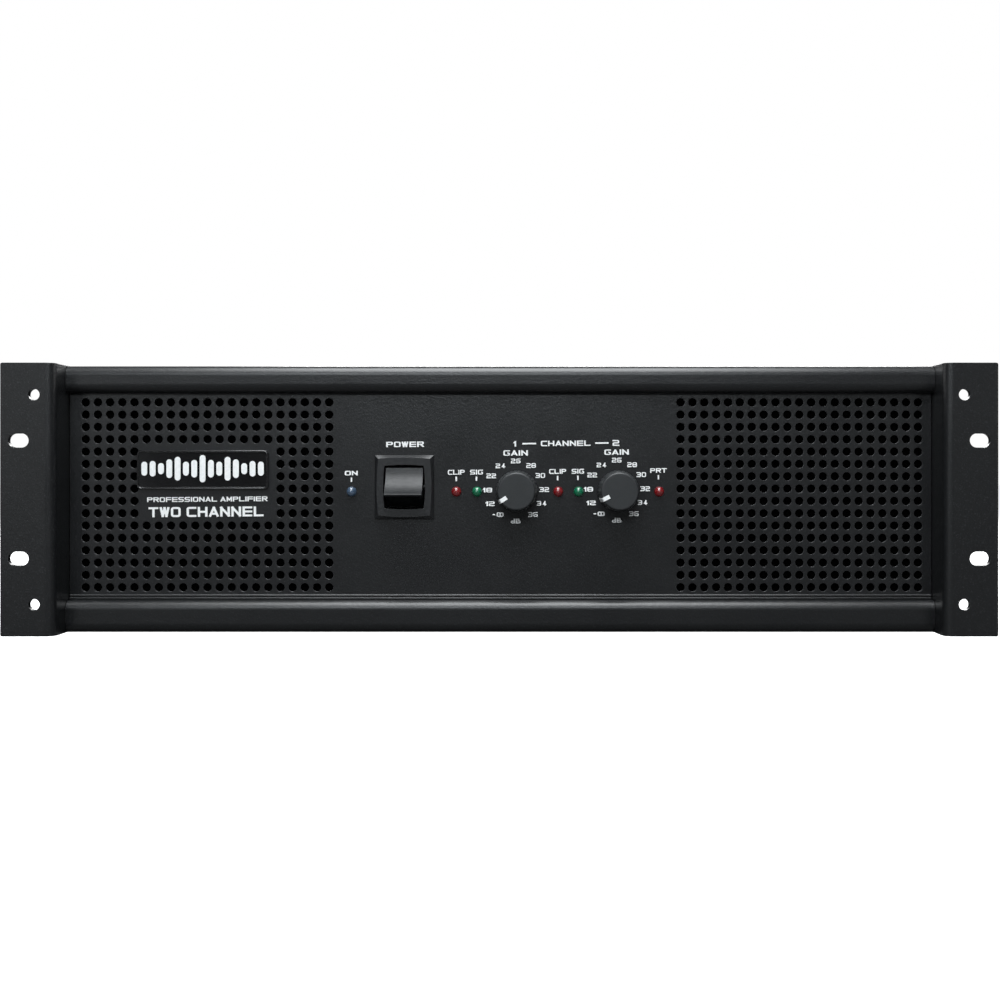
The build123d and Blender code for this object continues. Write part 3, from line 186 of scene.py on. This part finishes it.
def plated(name, colour, worn, roughness=0.34, metallic=0.9):
    """Plated or blackened metal with worn patches."""
    s = Surface(name, Metallic=metallic)
    s.colour(s.blend(s.spread(s.noise(scale=180, detail=4, roughness=0.65), 0.35, 0.7), colour, worn))
    s.roughness(s.spread(s.noise(scale=900), 0.3, 0.7, roughness - 0.07, roughness + 0.1))
    s.bump([(s.noise(scale=1600), 0.12, 0.04)], edge=0.2)
    return s.material


def brushed(name, colour, worn, roughness, stretch):
    """Bare metal with a fine grain, closer set along an axis whose stretch is above 1."""
    s = Surface(name, Metallic=1.0)
    grain = s.noise(scale=260, detail=5, roughness=0.7, stretch=stretch)
    s.colour(s.blend(s.spread(grain, 0.35, 0.65), colour, worn))
    s.roughness(s.spread(s.noise(scale=120, detail=3), 0.3, 0.7, roughness, roughness + 0.12))
    s.bump([(grain, 0.18, 0.03)], edge=0.2)
    return s.material


def moulded(name, colour, lighter, roughness=0.5, grain_scale=2300, strength=0.2, **values):
    """Moulded plastic or rubber with a fine grain."""
    s = Surface(name, **values)
    s.colour(s.blend(s.spread(s.noise(scale=60, detail=4, roughness=0.6), 0.35, 0.7), colour, lighter))
    s.roughness(s.spread(s.noise(scale=700, detail=3), 0.3, 0.7, roughness - 0.05, roughness + 0.06))
    s.bump([(s.noise(scale=grain_scale, roughness=0.6), strength, 0.06)], edge=0.3)
    return s.material


def badge_gloss():
    """Glossy black lacquer with faint level scratches."""
    s = Surface("badge_black", Coat_Weight=1.0, Coat_Roughness=0.06)
    drift = s.spread(s.noise(scale=40, detail=3), 0.4, 0.7)
    s.colour(s.blend(drift, (0.004, 0.004, 0.0045), (0.007, 0.007, 0.0075)))
    scratches = s.noise(scale=300, detail=6, roughness=0.75, stretch=(1, 1, 9))
    s.roughness(s.spread(scratches, 0.45, 0.75, 0.16, 0.24))
    s.bump([(scratches, 0.02, 0.01)], edge=0.5)
    return s.material


def white_print(name, strength=0.25):
    """White ink or paint, slightly uneven."""
    s = Surface(name)
    uneven = s.spread(s.noise(scale=900, detail=3, roughness=0.6), 0.35, 0.75)
    s.colour(s.blend(uneven, (0.86, 0.87, 0.86), (0.74, 0.75, 0.75)))
    s.roughness(s.spread(s.noise(scale=400), 0.3, 0.7, 0.42, 0.56))
    s.bump([(s.noise(scale=2000), strength, 0.03)])
    return s.material


def resin(name, deep, pale, glow):
    """Tinted, slightly cloudy lamp resin, with a faint glow for the light that gathers in it."""
    s = Surface(
        name,
        Transmission_Weight=0.12,
        Subsurface_Weight=0.2,
        Subsurface_Scale=1 * MM,
        Coat_Weight=1.0,
        Coat_Roughness=0.02,
        Emission_Strength=0.03,
    )
    s.shader.inputs["Subsurface Radius"].default_value = (1.0, 1.0, 1.0)
    s.shader.inputs["Emission Color"].default_value = (*glow, 1.0)
    s.colour(s.blend(s.spread(s.noise(scale=500), 0.35, 0.7), deep, pale))
    s.roughness(s.spread(s.noise(scale=900), 0.3, 0.7, 0.10, 0.18))
    s.bump([(s.noise(scale=300, detail=1), 0.02, 0.02)])
    return s.material


def foam():
    """Open-cell foam behind the holes, painted near black and without sheen as the shade inside the case, and
    blacker in the cells as painted shade.
    """
    s = Surface("filter_foam", Roughness=0.95, Specular_IOR_Level=0.0)
    walls = s.spread(s.cells(900, "DISTANCE_TO_EDGE"), 0.05, 0.25, 1.0, 0.0)
    s.colour(s.blend(walls, (0.0003, 0.0003, 0.0003), (0.0015, 0.0015, 0.0015)))
    s.bump([(walls, 0.8, 0.6)])
    return s.material


def circuit_board():
    """Green board with tracks and round solder pads."""
    s = Surface("circuit_board")
    tracks = s.node("ShaderNodeTexBrick", offset=0.37, squash=0.6)
    pattern = {"Scale": 160, "Mortar Size": 0.04, "Brick Width": 1.9, "Row Height": 0.33}
    for socket, value in pattern.items():
        tracks.inputs[socket].default_value = value
    s.link(s.place, tracks.inputs["Vector"])
    drift = s.spread(s.noise(scale=70, detail=3), 0.35, 0.65)
    mask = s.blend(drift, (0.010, 0.075, 0.030), (0.014, 0.10, 0.042))
    tracked = s.blend(tracks.outputs["Fac"], mask, (0.03, 0.19, 0.08))
    pads = s.spread(s.cells(240), 0.10, 0.13, 1.0, 0.0)
    s.colour(s.blend(pads, tracked, (0.62, 0.58, 0.47)))
    s.roughness(s.spread(pads, 0.0, 1.0, 0.38, 0.25))
    s.bump([(tracks.outputs["Fac"], 0.2, 0.04)])
    return s.material


def winding():
    """Amber film over diagonal copper turns."""
    s = Surface("winding_film", Coat_Weight=0.6, Coat_Roughness=0.15)
    turns = s.node("ShaderNodeTexWave", wave_type="BANDS", bands_direction="DIAGONAL")
    turns.inputs["Scale"].default_value = 160
    turns.inputs["Distortion"].default_value = 1.5
    s.link(s.place, turns.inputs["Vector"])
    s.colour(s.blend(turns.outputs["Fac"], (0.42, 0.22, 0.04), (0.58, 0.36, 0.08)))
    s.roughness(s.spread(s.noise(scale=200, detail=3), 0.3, 0.7, 0.3, 0.45))
    s.bump([(turns.outputs["Fac"], 0.3, 0.3)])
    return s.material


PRINT = white_print("white_print")

# The finishes, by the record's material slots. A family's values are in the order of its function.
FINISHES = {
    "powder_black": powder_coat(),
    "badge_black": badge_gloss(),
    "circuit_board": circuit_board(),
    "winding_film": winding(),
    "filter_foam": foam(),
    "pointer_white": white_print("pointer_white", 0.3),
}
PLATED = {
    "black_screw": ((0.035, 0.035, 0.038), (0.075, 0.075, 0.078)),
    "zinc_steel": ((0.50, 0.50, 0.48), (0.62, 0.62, 0.60), 0.3, 1.0),
    "tinned_brass": ((0.62, 0.58, 0.47), (0.48, 0.42, 0.28), 0.3, 1.0),
    "rectifier_case": ((0.45, 0.45, 0.46), (0.56, 0.56, 0.57), 0.4, 1.0),
    "heatsink_aluminium": ((0.010, 0.010, 0.011), (0.016, 0.016, 0.017), 0.5, 0.3),
}
BRUSHED = {
    "shaft_aluminium": ((0.60, 0.60, 0.62), (0.74, 0.74, 0.75), 0.25, (1, 14, 1)),
    "guard_wire": ((0.56, 0.57, 0.58), (0.68, 0.69, 0.70), 0.18, (1, 1, 1)),
    "nickel_shell": ((0.46, 0.45, 0.43), (0.56, 0.55, 0.53), 0.28, (1, 1, 8)),
}
MOULDED = {
    "switch_plastic": ((0.009, 0.0095, 0.0105), (0.013, 0.0135, 0.0145), 0.36, 2600, 0.12),
    "knob_grey": ((0.011, 0.0128, 0.014), (0.015, 0.0168, 0.0182), 0.48, 1500, 0.35),
    "rubber_pad": ((0.018, 0.018, 0.018), (0.028, 0.028, 0.028), 0.8, 900, 0.4),
    "capacitor_sleeve": ((0.015, 0.02, 0.06), (0.02, 0.03, 0.08), 0.3, 1200, 0.1),
    "transistor_case": ((0.014, 0.014, 0.015), (0.022, 0.022, 0.023), 0.55),
    "fan_plastic": ((0.013, 0.013, 0.014), (0.020, 0.020, 0.021), 0.48, 1400, 0.25),
    "connector_plastic": ((0.013, 0.013, 0.014), (0.019, 0.019, 0.020), 0.42),
    "slider_white": ((0.66, 0.66, 0.62), (0.74, 0.74, 0.71), 0.45),
    "ribbon_grey": ((0.36, 0.36, 0.37), (0.44, 0.44, 0.45), 0.55, 500, 0.3),
}
ROCKER = ((0.009, 0.010, 0.011), (0.013, 0.014, 0.015), 0.36, 1300, 0.6)
RESIN = {
    "led_blue": ((0.040, 0.070, 0.115), (0.060, 0.095, 0.150), (0.16, 0.27, 0.42)),
    "led_red": ((0.15, 0.004, 0.006), (0.20, 0.007, 0.009), (0.60, 0.01, 0.015)),
    "led_green": ((0.0, 0.10, 0.045), (0.0, 0.15, 0.065), (0.0, 0.40, 0.16)),
}
for make, family in ((plated, PLATED), (brushed, BRUSHED), (moulded, MOULDED), (resin, RESIN)):
    for slot, values in family.items():
        FINISHES[slot] = make(slot, *values)
FINISHES["rocker_plastic"] = moulded("rocker_plastic", *ROCKER, Specular_IOR_Level=0.30)

for part in frame["record"]["subparts"]:
    mesh = nodes[part["node"]].data
    mesh.materials.clear()
    mesh.materials.append(FINISHES[part["material_slot"]])

# ---- Print and emblem ----------------------------------------------------------------------------

panel_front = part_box("front_panel")[0].y
rear_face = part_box("rear_panel")[1].y
badge_low, badge_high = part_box("badge_plate")
PRINT_DEPTH = 0.06 * MM
PRINT_SINK = 0.01 * MM
# The front print climbs this much for each unit to the right, as it does in the photograph.
PRINT_SLOPE = 0.0082

# Wide square lettering. Each glyph is a few strokes, and each stroke a run of points on a grid four units
# high, written as the digits of x and y.
GLYPHS = {
    "A": "00-24 24-40 11-31",
    "B": "00-04 04-34-32-02 02-42-40-00",
    "C": "44-04-00-40",
    "D": "00-04 04-44-40-00",
    "E": "00-04 04-44 02-42 00-40",
    "F": "00-04 04-44 02-42",
    "G": "44-04-00-40-42-32",
    "H": "00-04 40-44 02-42",
    "I": "00-04",
    "K": "00-04 02-44 12-40",
    "L": "00-04 00-40",
    "M": "00-04 04-21 21-44 44-40",
    "N": "00-04 04-40 40-44",
    "O": "02-04-44-40-00-02",
    "P": "00-04 04-44-42-02",
    "R": "00-04 04-44-42-02 22-40",
    "S": "44-04-02-42-40-00",
    "T": "04-44 20-24",
    "U": "04-00-40-44",
    "W": "04-10 10-24 24-30 30-44",
    "d": "34-30 32-02-00-30",
    "0": "02-04-44-40-00-02",
    "1": "03-14 14-10",
    "2": "04-44-42-02-00 00-40",
    "3": "04-44-40-00 12-42",
    "4": "30-34 34-11 11-41",
    "6": "44-04-00-40-42-02",
    "8": "02-04-44-40-00-02 02-42",
}
# In grid units: the strokes' width, the letters' and words' spacing, and the corners' radius.
STROKE = 1.3
LETTER_GAP = 0.75
WORD_GAP = 2.4
CORNER_RADIUS = 0.85
# The grid's height over its width.
GLYPH_STRETCH = 1.3
# Each stroke is this much deeper than the last, so that no two faces lie in one plane.
STROKE_RISE = 0.004
CORNER_STEPS = 4
PILL_STEPS = 10


def rounded(points):
    """The stroke's points, with its right-angled corners rounded."""
    path = [points[0]]
    for before, corner, after in zip(points, points[1:], points[2:]):
        back = (before - corner).normalized()
        ahead = (after - corner).normalized()
        centre = corner + CORNER_RADIUS * (back + ahead)
        for step in range(CORNER_STEPS + 1):
            angle = radians(90 * step / CORNER_STEPS)
            path.append(centre - CORNER_RADIUS * (cos(angle) * ahead + sin(angle) * back))
    return path + [points[-1]]


def stroke_shape(shape, points, thickness):
    """Adds one stroke to a bmesh, as a closed ribbon with square ends, which meet if it is a ring."""
    half = STROKE / 2
    ring = points[0] == points[-1]
    points = rounded(points)
    if not ring:
        points[0] += half * (points[0] - points[1]).normalized()
        points[-1] += half * (points[-1] - points[-2]).normalized()
    rows = []
    for i, point in enumerate(points):
        before = (point - points[i - 1]).normalized() if i else None
        ahead = (points[i + 1] - point).normalized() if i + 1 < len(points) else None
        way = ((before or ahead) + (ahead or before)).normalized()
        side = half * Vector((-way.y, way.x))
        flat = [point + side, point - side]
        rows.append([shape.verts.new((*place, depth)) for depth in (0, thickness) for place in flat])
    for near, far in zip(rows, rows[1:]):
        for a, b in ((0, 1), (1, 3), (3, 2), (2, 0)):
            shape.faces.new((near[a], near[b], far[b], far[a]))
    for row in (rows[0], rows[-1]):
        shape.faces.new((row[0], row[1], row[3], row[2]))


def as_mesh(shape):
    """Turns a bmesh of closed forms into a mesh, with its faces turned outward."""
    bmesh.ops.recalc_face_normals(shape, faces=shape.faces)
    mesh = bpy.data.meshes.new("shape")
    shape.to_mesh(mesh)
    shape.free()
    return mesh


def text_shape(text):
    """Mesh of one line of text."""
    shape = bmesh.new()
    across = 0.0
    thickness = 1.0
    for letter in text:
        if letter == " ":
            across += WORD_GAP
            continue
        strokes = [stroke.split("-") for stroke in GLYPHS[letter].split()]
        for stroke in strokes:
            points = [Vector((across + int(x), GLYPH_STRETCH * int(y))) for x, y in stroke]
            stroke_shape(shape, points, thickness)
            thickness += STROKE_RISE
        across += max(int(point[0]) for stroke in strokes for point in stroke) + STROKE + LETTER_GAP
    return as_mesh(shape)


def slab(outline):
    """Mesh of a flat outline, one unit thick."""
    shape = bmesh.new()
    face = shape.faces.new([shape.verts.new((x, y, 0)) for x, y in outline])
    moved = bmesh.ops.extrude_face_region(shape, geom=[face])["geom"]
    corners = [item for item in moved if isinstance(item, bmesh.types.BMVert)]
    bmesh.ops.translate(shape, vec=(0, 0, 1), verts=corners)
    return as_mesh(shape)


def add_piece(mesh, name, material):
    """Adds a mesh to the scene as a piece fixed to the case."""
    mesh.materials.append(material)
    piece = bpy.data.objects.new(name, mesh)
    scene.collection.objects.link(piece)
    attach(piece, "chassis")


class Sheet:
    """Collects flat shapes on one upright plane into a single piece."""

    def __init__(self, depth, facing_front=True, slope=0.0):
        self.shape = bmesh.new()
        self.side = 1 if facing_front else -1
        self.depth = depth
        self.slope = slope

    def place(self, mesh, x, z, width, height, turn=0.0, thickness=PRINT_DEPTH):
        """Scales a mesh to the given width and height in mm, centred on (x, z) in mm."""
        points = [vertex.co for vertex in mesh.vertices]
        low = Vector(map(min, *points))
        high = Vector(map(max, *points))
        size = high - low
        shrink = Matrix.Diagonal((width * MM / size.x, height * MM / size.y, thickness / size.z, 1))
        upright = Matrix(((self.side, 0, 0, 0), (0, 0, -self.side, 0), (0, 1, 0, 0), (0, 0, 0, 1)))
        spin = Matrix.Rotation(-turn, 4, "Y")
        tilt = Matrix.Rotation(-self.slope, 4, "Y")
        put = Matrix.Translation((x * MM, self.depth, (z + self.slope * x) * MM))
        mesh.transform(put @ tilt @ spin @ upright @ shrink @ Matrix.Translation(-(low + high) / 2))
        self.shape.from_mesh(mesh)
        bpy.data.meshes.remove(mesh)

    def text(self, text, x, z, width, cap, turn=0.0):
        self.place(text_shape(text), x, z, width, cap, turn)

    def bar(self, x, z, width, height):
        self.place(slab(((0, 0), (1, 0), (1, 1), (0, 1))), x, z, width, height)

    def pill(self, x, z, width, height, thickness):
        """Upright bar with round ends."""
        radius = width / 2
        outline = []
        for end, start in ((1, 0.0), (-1, pi)):
            for step in range(PILL_STEPS + 1):
                angle = start + pi * step / PILL_STEPS
                outline.append((radius * cos(angle), end * (height / 2 - radius) + radius * sin(angle)))
        self.place(slab(outline), x, z, width, height, thickness=thickness)

    def finish(self, name):
        mesh = bpy.data.meshes.new(name)
        self.shape.to_mesh(mesh)
        self.shape.free()
        add_piece(mesh, name, PRINT)


# Places and sizes on the panels are in mm: x, z, width and then height.
CAP = 2.9
SMALL_CAP = 2.4
HEADING_Z = 27.4
RULE = 0.75
front = Sheet(panel_front - PRINT_DEPTH / 2 + PRINT_SINK, slope=PRINT_SLOPE)
front.text("POWER", -47.6, 27.5, 19.0, CAP)
front.text("1", 7.1, HEADING_Z, 1.7, CAP)
front.bar(14.3, HEADING_Z, 7.0, RULE)
front.text("CHANNEL", 32.5, HEADING_Z, 24.8, CAP)
front.bar(50.6, HEADING_Z, 6.6, RULE)
front.text("2", 57.6, HEADING_Z, 3.4, CAP)

LAMP_LABELS = (
    ("ON", -74.4, 6.6),
    ("CLIP", -22.1, 8.4),
    ("SIG", -12.0, 6.5),
    ("CLIP", 28.5, 8.4),
    ("SIG", 38.6, 6.2),
    ("PRT", 78.8, 8.2),
)
LAMP_LABEL_Z = 13.4
LAMP_TICK_Z = 10.1
for text, x, width in LAMP_LABELS:
    front.text(text, x, LAMP_LABEL_Z, width, SMALL_CAP)
    front.bar(x, LAMP_TICK_Z, RULE, 2.2)

# The dials' numbers stand on an oval round the knobs' centres, at angles from the top.
DIAL_STEPS = ("12", "18", "22", "24", "26", "28", "30", "32", "34", "36")
DIAL_ANGLES = (-115, -88, -59.5, -32.5, 0, 32.5, 59.5, 88, 115, 143)
DIAL_CENTRES = (7.6, 58.0)
DIAL_Z = 3.9
DIAL_ACROSS = 14.2
DIAL_UP = 14.9
NUMBER_WIDTH = 4.8
INFINITY_Z = -7.9
for x in DIAL_CENTRES:
    front.text("GAIN", x, 22.8, 12.4, CAP)
    for text, angle in zip(DIAL_STEPS, DIAL_ANGLES):
        turn = radians(angle)
        number_x = x + DIAL_ACROSS * sin(turn)
        front.text(text, number_x, DIAL_Z + DIAL_UP * cos(turn), NUMBER_WIDTH, SMALL_CAP)
    front.text("dB", x, -11.2, NUMBER_WIDTH, 2.3)
    # Minus infinity: a bar, and a figure eight on its side.
    front.bar(x - 10.9, INFINITY_Z, 1.3, 0.6)
    front.text("8", x - 7.8, INFINITY_Z, 2.2, 3.6, pi / 2)
front.text("PROFESSIONAL AMPLIFIER", -146.3, 0.95, 60.2, 2.6)
front.text("TWO CHANNEL", -147.0, -5.3, 57.4, 5.4)
front.finish("front_print")

# A row of pills like a sound wave, standing on the badge's field behind its rim.
EMBLEM_BARS = 15
EMBLEM_PITCH = 4.15
EMBLEM_BAR_WIDTH = 2.9
EMBLEM_HEIGHT = 13.6
EMBLEM_THICKNESS = 0.3 * MM
EMBLEM_UP = 0.5
FIELD_DEPTH = 0.4 * MM
# From the badge's field to the middle of the pills' thickness.
EMBLEM_LIFT = 0.12 * MM
# The pills' heights follow half a wave, this many pitches long, with a ripple on it.
EMBLEM_WAVE = EMBLEM_BARS + 3
LEAST_SWELL = 0.30
RIPPLE = 0.38
RIPPLE_TURN = 1.9
emblem = Sheet(badge_low.y + FIELD_DEPTH - EMBLEM_LIFT)
badge_x = (badge_low.x + badge_high.x) / 2 / MM
badge_z = (badge_low.z + badge_high.z) / 2 / MM
for i in range(EMBLEM_BARS):
    along = i - (EMBLEM_BARS - 1) / 2
    ripple = 1 - RIPPLE + RIPPLE * cos(along * RIPPLE_TURN)
    swell = LEAST_SWELL + (1 - LEAST_SWELL) * cos(along * pi / EMBLEM_WAVE) * ripple
    pill_x = badge_x + along * EMBLEM_PITCH
    emblem.pill(pill_x, badge_z + EMBLEM_UP, EMBLEM_BAR_WIDTH, EMBLEM_HEIGHT * swell, EMBLEM_THICKNESS)
emblem.finish("badge_emblem")

RIM_CORNER = 2.1 * MM
RIM_RADIUS = 0.38 * MM
RIM_STEPS = 8
RIM_SIDES = 12


def rim_bead(low, high):
    """Closed round bead, half sunk in the front of the rounded rectangle between the given corners."""
    shape = bmesh.new()
    rings = []
    inset = RIM_CORNER + RIM_RADIUS
    corners = ((high.x, high.z), (low.x, high.z), (low.x, low.z), (high.x, low.z))
    for quarter, (x, z) in enumerate(corners):
        centre_x = x - inset if x == high.x else x + inset
        centre_z = z - inset if z == high.z else z + inset
        for step in range(RIM_STEPS + 1):
            angle = radians(90 * (quarter + step / RIM_STEPS))
            ring = []
            for side in range(RIM_SIDES):
                section = radians(360 * side / RIM_SIDES)
                reach = RIM_CORNER + RIM_RADIUS * cos(section)
                depth = low.y - RIM_RADIUS * sin(section)
                point = (centre_x + reach * cos(angle), depth, centre_z + reach * sin(angle))
                ring.append(shape.verts.new(point))
            rings.append(ring)
    for i, ring in enumerate(rings):
        after = rings[(i + 1) % len(rings)]
        for side in range(RIM_SIDES):
            face = shape.faces.new((ring[side], ring[side - 1], after[side - 1], after[side]))
            face.smooth = True
    return as_mesh(shape)


add_piece(rim_bead(badge_low, badge_high), "badge_rim", FINISHES["badge_black"])

back = Sheet(rear_face + PRINT_DEPTH / 2 - PRINT_SINK, facing_front=False)
REAR_LABELS = (
    ("CH 1", 45.0, 56.5, 10.5, 3.0),
    ("CH 2", 80.0, 56.5, 10.5, 3.0),
    ("INPUTS", 62.5, -10.5, 18.0, 2.8),
    ("SPEAKERS", -62.5, 44.5, 26.0, 2.8),
    ("CH 1", -45.0, 39.0, 9.5, 2.6),
    ("CH 2", -80.0, 39.0, 9.5, 2.6),
    ("STEREO", 48.0, -31.5, 14.0, 2.4),
    ("BRIDGE", 77.0, -31.5, 14.0, 2.4),
    ("MODE", 62.5, -16.2, 11.0, 2.5),
    ("MAINS", 0.0, -50.5, 13.0, 2.6),
    ("EARTH", -62.5, -33.5, 12.5, 2.5),
)
for label in REAR_LABELS:
    back.text(*label)
back.finish("rear_print")

# ---- Floor, light and camera -----------------------------------------------------------------------

# The camera sees a pale floor. Light that reaches the object by way of the floor finds it dark, which keeps
# the black coat as black as a dark table would.
FLOOR_Z = cad_box[0].z
FLOOR_REACH = 8.0
floor_surface = Surface("pale_floor", Roughness=0.8, Specular_IOR_Level=0.1)
seen_floor = floor_surface.blend(floor_surface.noise(scale=3), (0.84, 0.84, 0.84), (0.87, 0.87, 0.87))
straight = floor_surface.node("ShaderNodeLightPath").outputs["Is Camera Ray"]
floor_surface.colour(floor_surface.blend(straight, (0.10, 0.10, 0.10), seen_floor))
floor_surface.shader.inputs["Emission Color"].default_value = (0.7, 0.7, 0.7, 1)
floor_surface.link(straight, floor_surface.shader.inputs["Emission Strength"])
floor_mesh = bpy.data.meshes.new("floor")
floor_corners = [(FLOOR_REACH * x, FLOOR_REACH * y, FLOOR_Z) for x, y in ((-1, -1), (1, -1), (1, 1), (-1, 1))]
floor_mesh.from_pydata(floor_corners, [], [(0, 1, 2, 3)])
floor_mesh.materials.append(floor_surface.material)
floor = bpy.data.objects.new("floor", floor_mesh)
scene.collection.objects.link(floor)

# Each light's name, place, what it points at, width and height in metres, watts and colour.
DAYLIGHT = (0.95, 0.98, 1.0)
WHITE = (1.0, 1.0, 1.0)
LIGHTS = (
    ("soft_box", (-0.02, -0.35, 0.88), (-0.02, -0.35, 0.0), 0.60, 0.96, 20, DAYLIGHT),
    ("front_card", (-0.08, -0.76, 0.36), (-0.02, 0.0, 0.0), 0.60, 0.20, 2.9, (0.90, 0.96, 1.0)),
    ("left_card", (-0.60, -0.84, 0.06), (-0.23, 0.0, 0.0), 0.22, 0.50, 0.42, DAYLIGHT),
    ("right_card", (0.56, -0.84, 0.06), (0.23, 0.0, 0.0), 0.22, 0.50, 0.20, DAYLIGHT),
    ("rear_box", (0.10, 1.45, 0.62), (0.0, 0.40, 0.0), 1.10, 0.50, 16, WHITE),
    ("left_box", (-1.25, 0.55, 0.60), (-0.20, 0.25, 0.0), 0.90, 0.50, 7, WHITE),
    ("right_box", (1.25, 0.55, 0.60), (0.20, 0.25, 0.0), 0.90, 0.50, 7, WHITE),
)
for name, place, target, width, height, watts, colour in LIGHTS:
    light = bpy.data.lights.new(name, "AREA")
    light.shape = "RECTANGLE"
    light.size = width
    light.size_y = height
    light.energy = watts
    light.color = colour
    lamp = bpy.data.objects.new(name, light)
    lamp.location = place
    lamp.visible_camera = False
    lamp.rotation_euler = (Vector(target) - Vector(place)).to_track_quat("-Z", "Y").to_euler()
    scene.collection.objects.link(lamp)

# The world is white to the camera. To all other light it is dark up to the horizon and paler above it.
world = bpy.data.worlds.new("studio")
scene.world = world
world.use_nodes = True
sky = world.node_tree
sky.nodes.clear()
direction = sky.nodes.new("ShaderNodeTexCoord").outputs["Generated"]
axes = sky.nodes.new("ShaderNodeSeparateXYZ")
sky.links.new(direction, axes.inputs["Vector"])
upward = sky.nodes.new("ShaderNodeMapRange")
upward.inputs["From Min"].default_value = -1.0
sky.links.new(axes.outputs["Z"], upward.inputs["Value"])
ramp = sky.nodes.new("ShaderNodeValToRGB")
horizon, zenith = ramp.color_ramp.elements
horizon.position = 0.50
horizon.color = (0.015, 0.015, 0.015, 1)
zenith.position = 0.95
zenith.color = (0.30, 0.31, 0.32, 1)
sky.links.new(upward.outputs["Result"], ramp.inputs["Fac"])
dim = sky.nodes.new("ShaderNodeBackground")
sky.links.new(ramp.outputs["Color"], dim.inputs["Color"])
white = sky.nodes.new("ShaderNodeBackground")
white.inputs["Color"].default_value = (1, 1, 1, 1)
seen = sky.nodes.new("ShaderNodeLightPath")
choose = sky.nodes.new("ShaderNodeMixShader")
sky.links.new(seen.outputs["Is Camera Ray"], choose.inputs["Fac"])
sky.links.new(dim.outputs["Background"], choose.inputs[1])
sky.links.new(white.outputs["Background"], choose.inputs[2])
result = sky.nodes.new("ShaderNodeOutputWorld")
sky.links.new(choose.outputs["Shader"], result.inputs["Surface"])

# The camera looks straight to the rear; its shift frames the object as the photograph does.
camera_data = bpy.data.cameras.new("camera")
camera_data.sensor_width = 36
camera_data.lens = 48.4
camera_data.shift_x = -0.0406
camera_data.shift_y = -0.0273
camera = bpy.data.objects.new("camera", camera_data)
camera.location = (0.020, -0.6532, 0.013)
camera.rotation_euler = (radians(90), 0, 0)
scene.collection.objects.link(camera)
scene.camera = camera
scene.view_settings.view_transform = "Standard"
